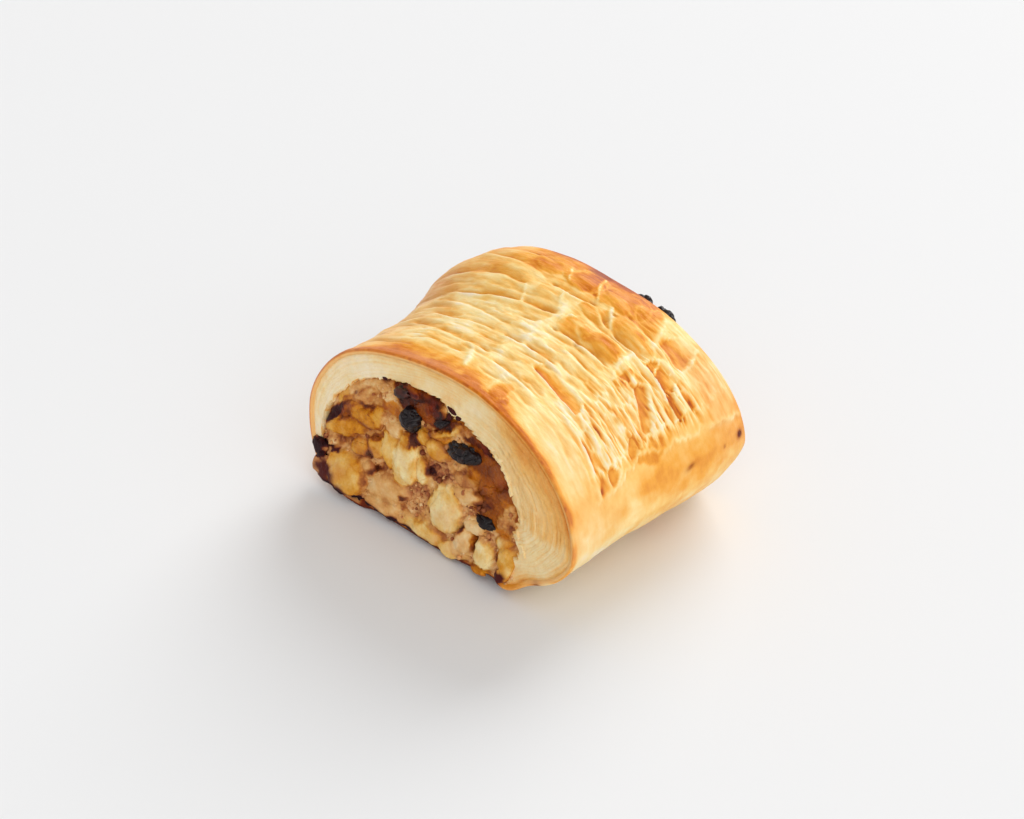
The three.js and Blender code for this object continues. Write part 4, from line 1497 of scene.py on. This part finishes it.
def core_face(side, fruit, arcs, ring_count):
    """Rings of one face of the heap's body, from the middle to the edge, and their marks."""
    share = arcs[None, :] / TUNNEL.length
    along = share * 0 + (0.0 if side > 0 else 1.0)
    edge = ring_points(TUNNEL, arcs[None, :], along, share * 0 - 0.25, CORE_BASE, 0.2)
    middle = edge.mean(axis=1, keepdims=True)
    reach = np.linspace(0.012, 1, ring_count)[:, None]
    points = middle * (1 - reach[..., None]) + edge * reach[..., None]
    x, z = points[..., 0], points[..., 2]
    face_x = x if side > 0 else 2 * TUNNEL.middle - (x - drift_at(z))
    rise, marks = filling_look(face_x, z, side, fruit)
    first, second, label = cells(100 + side, face_x / 1.7, z / 1.7)
    loose = 0.35 + 0.65 * marks["crumb"]
    rough = loose * (0.5 * (second - first) + 0.28 * layered(104, 3, face_x / 1.6, z / 1.6))
    out = base_out(face_x, z) - CORE_INSET + rise + rough
    out -= smooth(reach, 0.96, 1) * smooth(z, 1, 6)
    points[..., 1] = (front_y(x, z) if side > 0 else LENGTH) - side * out
    marks["tone"] = marks["tone"] + marks["crumb"] * (0.25 * (label - 0.5) - 0.2 * (second - first))
    return points, marks


def make_filling_core(fruit, paint):
    """The crumb and apple that hold the larger pieces, a little smaller than the whole filling."""
    arcs = np.arange(0, TUNNEL.length, 0.55 / FINE)
    front, front_marks = core_face(1, fruit[1], arcs, int(CORE_FRONT_ROWS * FINE))
    back, back_marks = core_face(-1, fruit[-1], arcs, int(CORE_BACK_ROWS * FINE))
    hidden = tube(TUNNEL, arcs[None, :] / TUNNEL.length, np.linspace(0.08, 0.92, 4), -0.6, CORE_BASE, 0.3)
    plain = np.full(hidden.shape[:2], 0.5)
    points, faces = capped_rings(np.concatenate([front, hidden, back[::-1]]))
    marks = {}
    for key, front_mark in front_marks.items():
        marks[key] = with_poles(np.concatenate([front_mark, plain, back_marks[key][::-1]]))
    piece = make_piece("filling_core", points, faces, paint, marks)
    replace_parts(piece, "filling")


def make_fruit(fruit, paint, glossy_paint):
    """Apple pieces and lumps of jelly in both cuts."""
    rng = np.random.default_rng(7)
    apples, jelly = Heap(), Heap()
    for side in (1, -1):
        for kind, x, z, half_x, half_z, degrees, _, rise in fruit[side]:
            if kind == CRUMB or rise < RAISED or min(half_x, half_z) < 1.2:
                continue
            front = side > 0
            if kind == JELLY:
                place = (x, z, half_x, half_z, degrees, rise + 0.1)
                form = {"depth": 1.4, "sides": 12, "power": 4.0, "rough": 1.2, "flat": 0.4, "bulge": 0.9}
                jelly.add(*lump(rng, 4 if front else 3, place, side, fruit[side], **form))
            else:
                place = (x, z, 0.95 * half_x, 0.95 * half_z, degrees, rise + 0.1)
                large = front and half_x * half_z > 12
                apples.add(*lump(rng, 4 if large else 3, place, side, fruit[side]))
    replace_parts(apples.piece("apple_pieces", paint, "apple_filling"), "filling")
    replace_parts(jelly.piece("fruit_jelly", glossy_paint, "apple_filling"), "filling")


def make_burnt_bits(fruit, paint):
    """Charred lumps that hang on the edge of the front cut, and dark bits that stick to the dough."""
    rng = np.random.default_rng(11)
    heap = Heap()
    for x, z, half_x, half_z, degrees, _ in FRONT_BURNT[:BURNT_LUMPS]:
        place = (x, z, 0.85 * half_x, 0.85 * half_z, degrees, 1.3)
        heap.add(*lump(rng, 4, place, 1, fruit[1], depth=1.8, power=5.0, rough=1.0, flat=0.5))
    for x, z, half, degrees in DARK_BITS:
        place = (x, z, half, 0.5 * half, degrees, sink_at(x) + 0.2)
        points, faces, marks = lump(rng, 3, place, 1, fruit[1], depth=0.7, rough=1.1, flat=0.5)
        heap.add(points, faces, {**marks, "burn": 0.9})
    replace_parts(heap.piece("charred_bits", paint, "apple_filling"), "filling")


def make_dough_shreds(paint):
    """Ragged flakes of dough that hang over the filling at the front opening."""
    rng = np.random.default_rng(13)
    heap = Heap()
    for x, z, half, degrees in DOUGH_SHREDS:
        for turn, size in ((0, 1.0), (25, 0.6)):
            place = (x, z, half * size, 0.42, degrees + turn, sink_at(x) + 0.25)
            points, faces, _ = lump(rng, 3, place, 1, (), depth=0.9, rough=0.8, flat=0.5)
            heap.add(points, faces, {"tone": rng.uniform(0.16, 0.34)})
    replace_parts(heap.piece("dough_shreds", paint, "baked_pastry"), "pastry")


def make_grains(fruit, paint):
    """Loose spiced crumbs on the cuts, where no apple shows."""
    rng = np.random.default_rng(5)
    heap = Heap()
    for side, count in GRAIN_TRIES:
        x, z = rng.uniform(-46, 32, count), rng.uniform(1.5, 43, count)
        rise, marks = filling_look(x, z, side, fruit[side])
        sizes = np.where(rng.random(count) < 0.8, rng.uniform(0.2, 0.5, count), rng.uniform(0.5, 0.85, count))
        kept = (marks["crumb"] ** 3 > rng.uniform(0.1, 1.3, count)) & (marks["burn"] < 0.5)
        for index in np.flatnonzero(kept):
            if not inside_tunnel(x[index], z[index], 0.8):
                continue
            size = sizes[index]
            directions, faces = sphere(2 if size > 0.5 else 1)
            body = directions * size * rng.uniform(0.6, 1.2, 3)
            body = body * (1 + 0.2 * rng.normal(size=(len(body), 1)).clip(-1, 1))
            out = base_out(x[index], z[index]) + rise[index] - CORE_INSET + 0.4 * size
            px, pz = x[index] + body[:, 0], np.maximum(z[index] + body[:, 2], 0.3)
            tone = np.clip(marks["tone"][index] + rng.normal(0, 0.16), 0.02, 0.76)
            look = {"tone": tone, "crumb": 1.0, "jelly": 0.0, "burn": marks["burn"][index]}
            heap.add(to_face(px, pz, out - body[:, 1], side), faces, look)
    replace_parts(heap.piece("crumb_grains", paint, "apple_filling"), "filling")


def make_filling(dough_paint):
    fruit = {1: FRONT_FRUIT, -1: back_fruit()}
    soft = filling_paint("stewed_filling", 0.04)
    glossy = filling_paint("glazed_filling", 0.12)
    make_filling_core(fruit, soft)
    make_fruit(fruit, soft, glossy)
    make_burnt_bits(fruit, soft)
    make_dough_shreds(dough_paint)
    make_grains(fruit, soft)


# ---------------------------------------------------------------- the raisins

RAISINS = (  # node, side, size across, up and into the roll, turn, how pointed, shift across and up
    ("raisin_top", 1, (7.2, 4.8, 5.0), 20, 0.3, (-1.2, 0.8)),
    ("raisin_round", 1, (7.6, 7.0, 6.4), 35, 0.0, (-1.0, 1.3)),
    ("raisin_thin", 1, (7.4, 2.8, 4.0), 28, 0.8, (-1.2, -0.8)),
    ("raisin_long", 1, (11.6, 6.2, 6.6), 8, 0.1, (-2.0, -1.1)),
    ("raisin_low", 1, (8.8, 4.2, 5.4), -14, 0.5, (-2.0, -0.9)),
    ("raisin_back_top", -1, (8.2, 9.6, 5.0), -10, 0.2, (0, 0)),
    ("raisin_back_rim", -1, (7.4, 9.6, 5.0), 12, 0.2, (0, 0)),
    ("raisin_back_left", -1, (9.0, 7.0, 6.6), 30, 0.1, (0, 0)),
    ("raisin_back_low", -1, (8.0, 6.0, 6.0), -40, 0.3, (0, 0)),
)


def make_raisin(index, node, side, size, degrees, point, shift_by, paint):
    """A shrivelled raisin with deep folds, in its CAD solid's place."""
    directions, faces = sphere(5 if side > 0 and FINE == 1 else 4)
    across, inward, up = directions.T
    shift = index * 7.3
    warp = np.array([noise(120 + axis, *(directions.T * 1.6 + shift)) for axis in range(3)])
    warped = directions.T + 0.3 * warp
    folds = 1 - np.abs(noise(124, *(warped * np.array([[1.9], [1.3], [1.9]]) + shift)))
    small = 1 - np.abs(noise(125, *(warped * 4.4 + shift)))
    radius = 1.0 - 0.26 * folds ** 5 - 0.05 * small ** 3 + 0.14 * noise(126, *(directions.T * 1.1 + shift))
    narrow = 1 - point * np.abs(across) ** 1.5
    half_x, half_z, half_y = np.array(size) / 2
    turned_x, turned_z = rotated(across * radius * half_x, up * radius * half_z * narrow, degrees)
    low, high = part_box(node)
    middle = np.array((low + high) / 2) / MM - SHIFT + np.array([shift_by[0], 0, shift_by[1]])
    points = middle + np.stack([turned_x, inward * radius * half_y * narrow, turned_z], axis=-1)
    tone = 0.25 + 0.5 * smooth(radius, 0.85, 1.1) * (0.5 + 0.5 * noise(127, *(directions.T * 3 + shift)))
    tone += 0.35 if node == "raisin_top" else 0
    piece = make_piece(f"{node}_skin", points, faces, paint, {"tone": tone})
    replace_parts(piece, node)


def make_raisins():
    paint = raisin_paint()
    for index, row in enumerate(RAISINS):
        make_raisin(index, *row, paint)


# ---------------------------------------------------------------- light and camera

LENS = 85
SENSOR = 36
LOOK_AT = (-30.96, 62.86, 0)    # in the roll's own frame
CAMERA_AWAY = 0.7072            # metres
CAMERA_SIDE = 44.6              # degrees round from the front cut
CAMERA_ABOVE = 34.03            # degrees above the floor
CAMERA_ROLL = 0.71              # degrees

SUNS = (  # name, level direction, degrees above the floor, spread in degrees, strength, colour
    ("key", (-0.285, 0.958), 30, 40, 2.0, (1.0, 0.99, 0.98)),
    ("fill", (0.95, -0.35), 30, 80, 1.4, (1.0, 1.0, 1.0)),
)
SURROUND = (1.0, 0.97, 0.945, 1)
SURROUND_STRENGTH = 0.55
FLOOR_SIZE = 12                 # metres
FLOOR_DROP = 0.0002             # metres under the roll's foot


def set_camera():
    """An 85 mm lens that looks down on the front cut and the right flank."""
    data = bpy.data.cameras.new("camera")
    data.lens = LENS
    data.sensor_width = SENSOR
    data.clip_end = 20
    camera = bpy.data.objects.new("camera", data)
    bpy.context.collection.objects.link(camera)
    azimuth, elevation = math.radians(CAMERA_SIDE), math.radians(CAMERA_ABOVE)
    toward = Vector((math.sin(azimuth), -math.cos(azimuth), 0)) * math.cos(elevation)
    toward.z = math.sin(elevation)
    location = (Vector(LOOK_AT) + Vector(SHIFT)) * MM + toward * CAMERA_AWAY
    level = (-toward).to_track_quat("-Z", "Y").to_matrix()
    rolled = level @ Matrix.Rotation(-math.radians(CAMERA_ROLL), 3, "Z")
    camera.matrix_world = Matrix.Translation(location) @ rolled.to_4x4()
    bpy.context.scene.camera = camera


def add_sun(name, level, above, spread, strength, colour):
    """A soft light from far away."""
    data = bpy.data.lights.new(name, "SUN")
    data.angle = math.radians(spread)
    data.energy = strength
    data.color = colour
    light = bpy.data.objects.new(name, data)
    bpy.context.collection.objects.link(light)
    toward = Vector((*level, 0)).normalized() * math.cos(math.radians(above))
    toward.z = math.sin(math.radians(above))
    light.rotation_euler = toward.to_track_quat("Z", "Y").to_euler()


def set_light():
    """A bright even surround, a large low light behind the roll and a softer one before its right flank."""
    scene = bpy.context.scene
    scene.view_settings.view_transform = "Standard"
    world = bpy.data.worlds.new("surround")
    scene.world = world
    world.use_nodes = True
    background = world.node_tree.nodes["Background"]
    background.inputs["Color"].default_value = SURROUND
    background.inputs["Strength"].default_value = SURROUND_STRENGTH
    for sun in SUNS:
        add_sun(*sun)


def make_floor():
    bpy.ops.mesh.primitive_plane_add(size=FLOOR_SIZE, location=(0, 0, -FLOOR_DROP))
    floor = bpy.context.object
    floor.name = "floor"
    floor.data.materials.append(floor_paint())


set_camera()
set_light()
make_floor()
dough = crumb_paint()
make_crust()
make_crumb(dough)
make_filling(dough)
make_raisins()
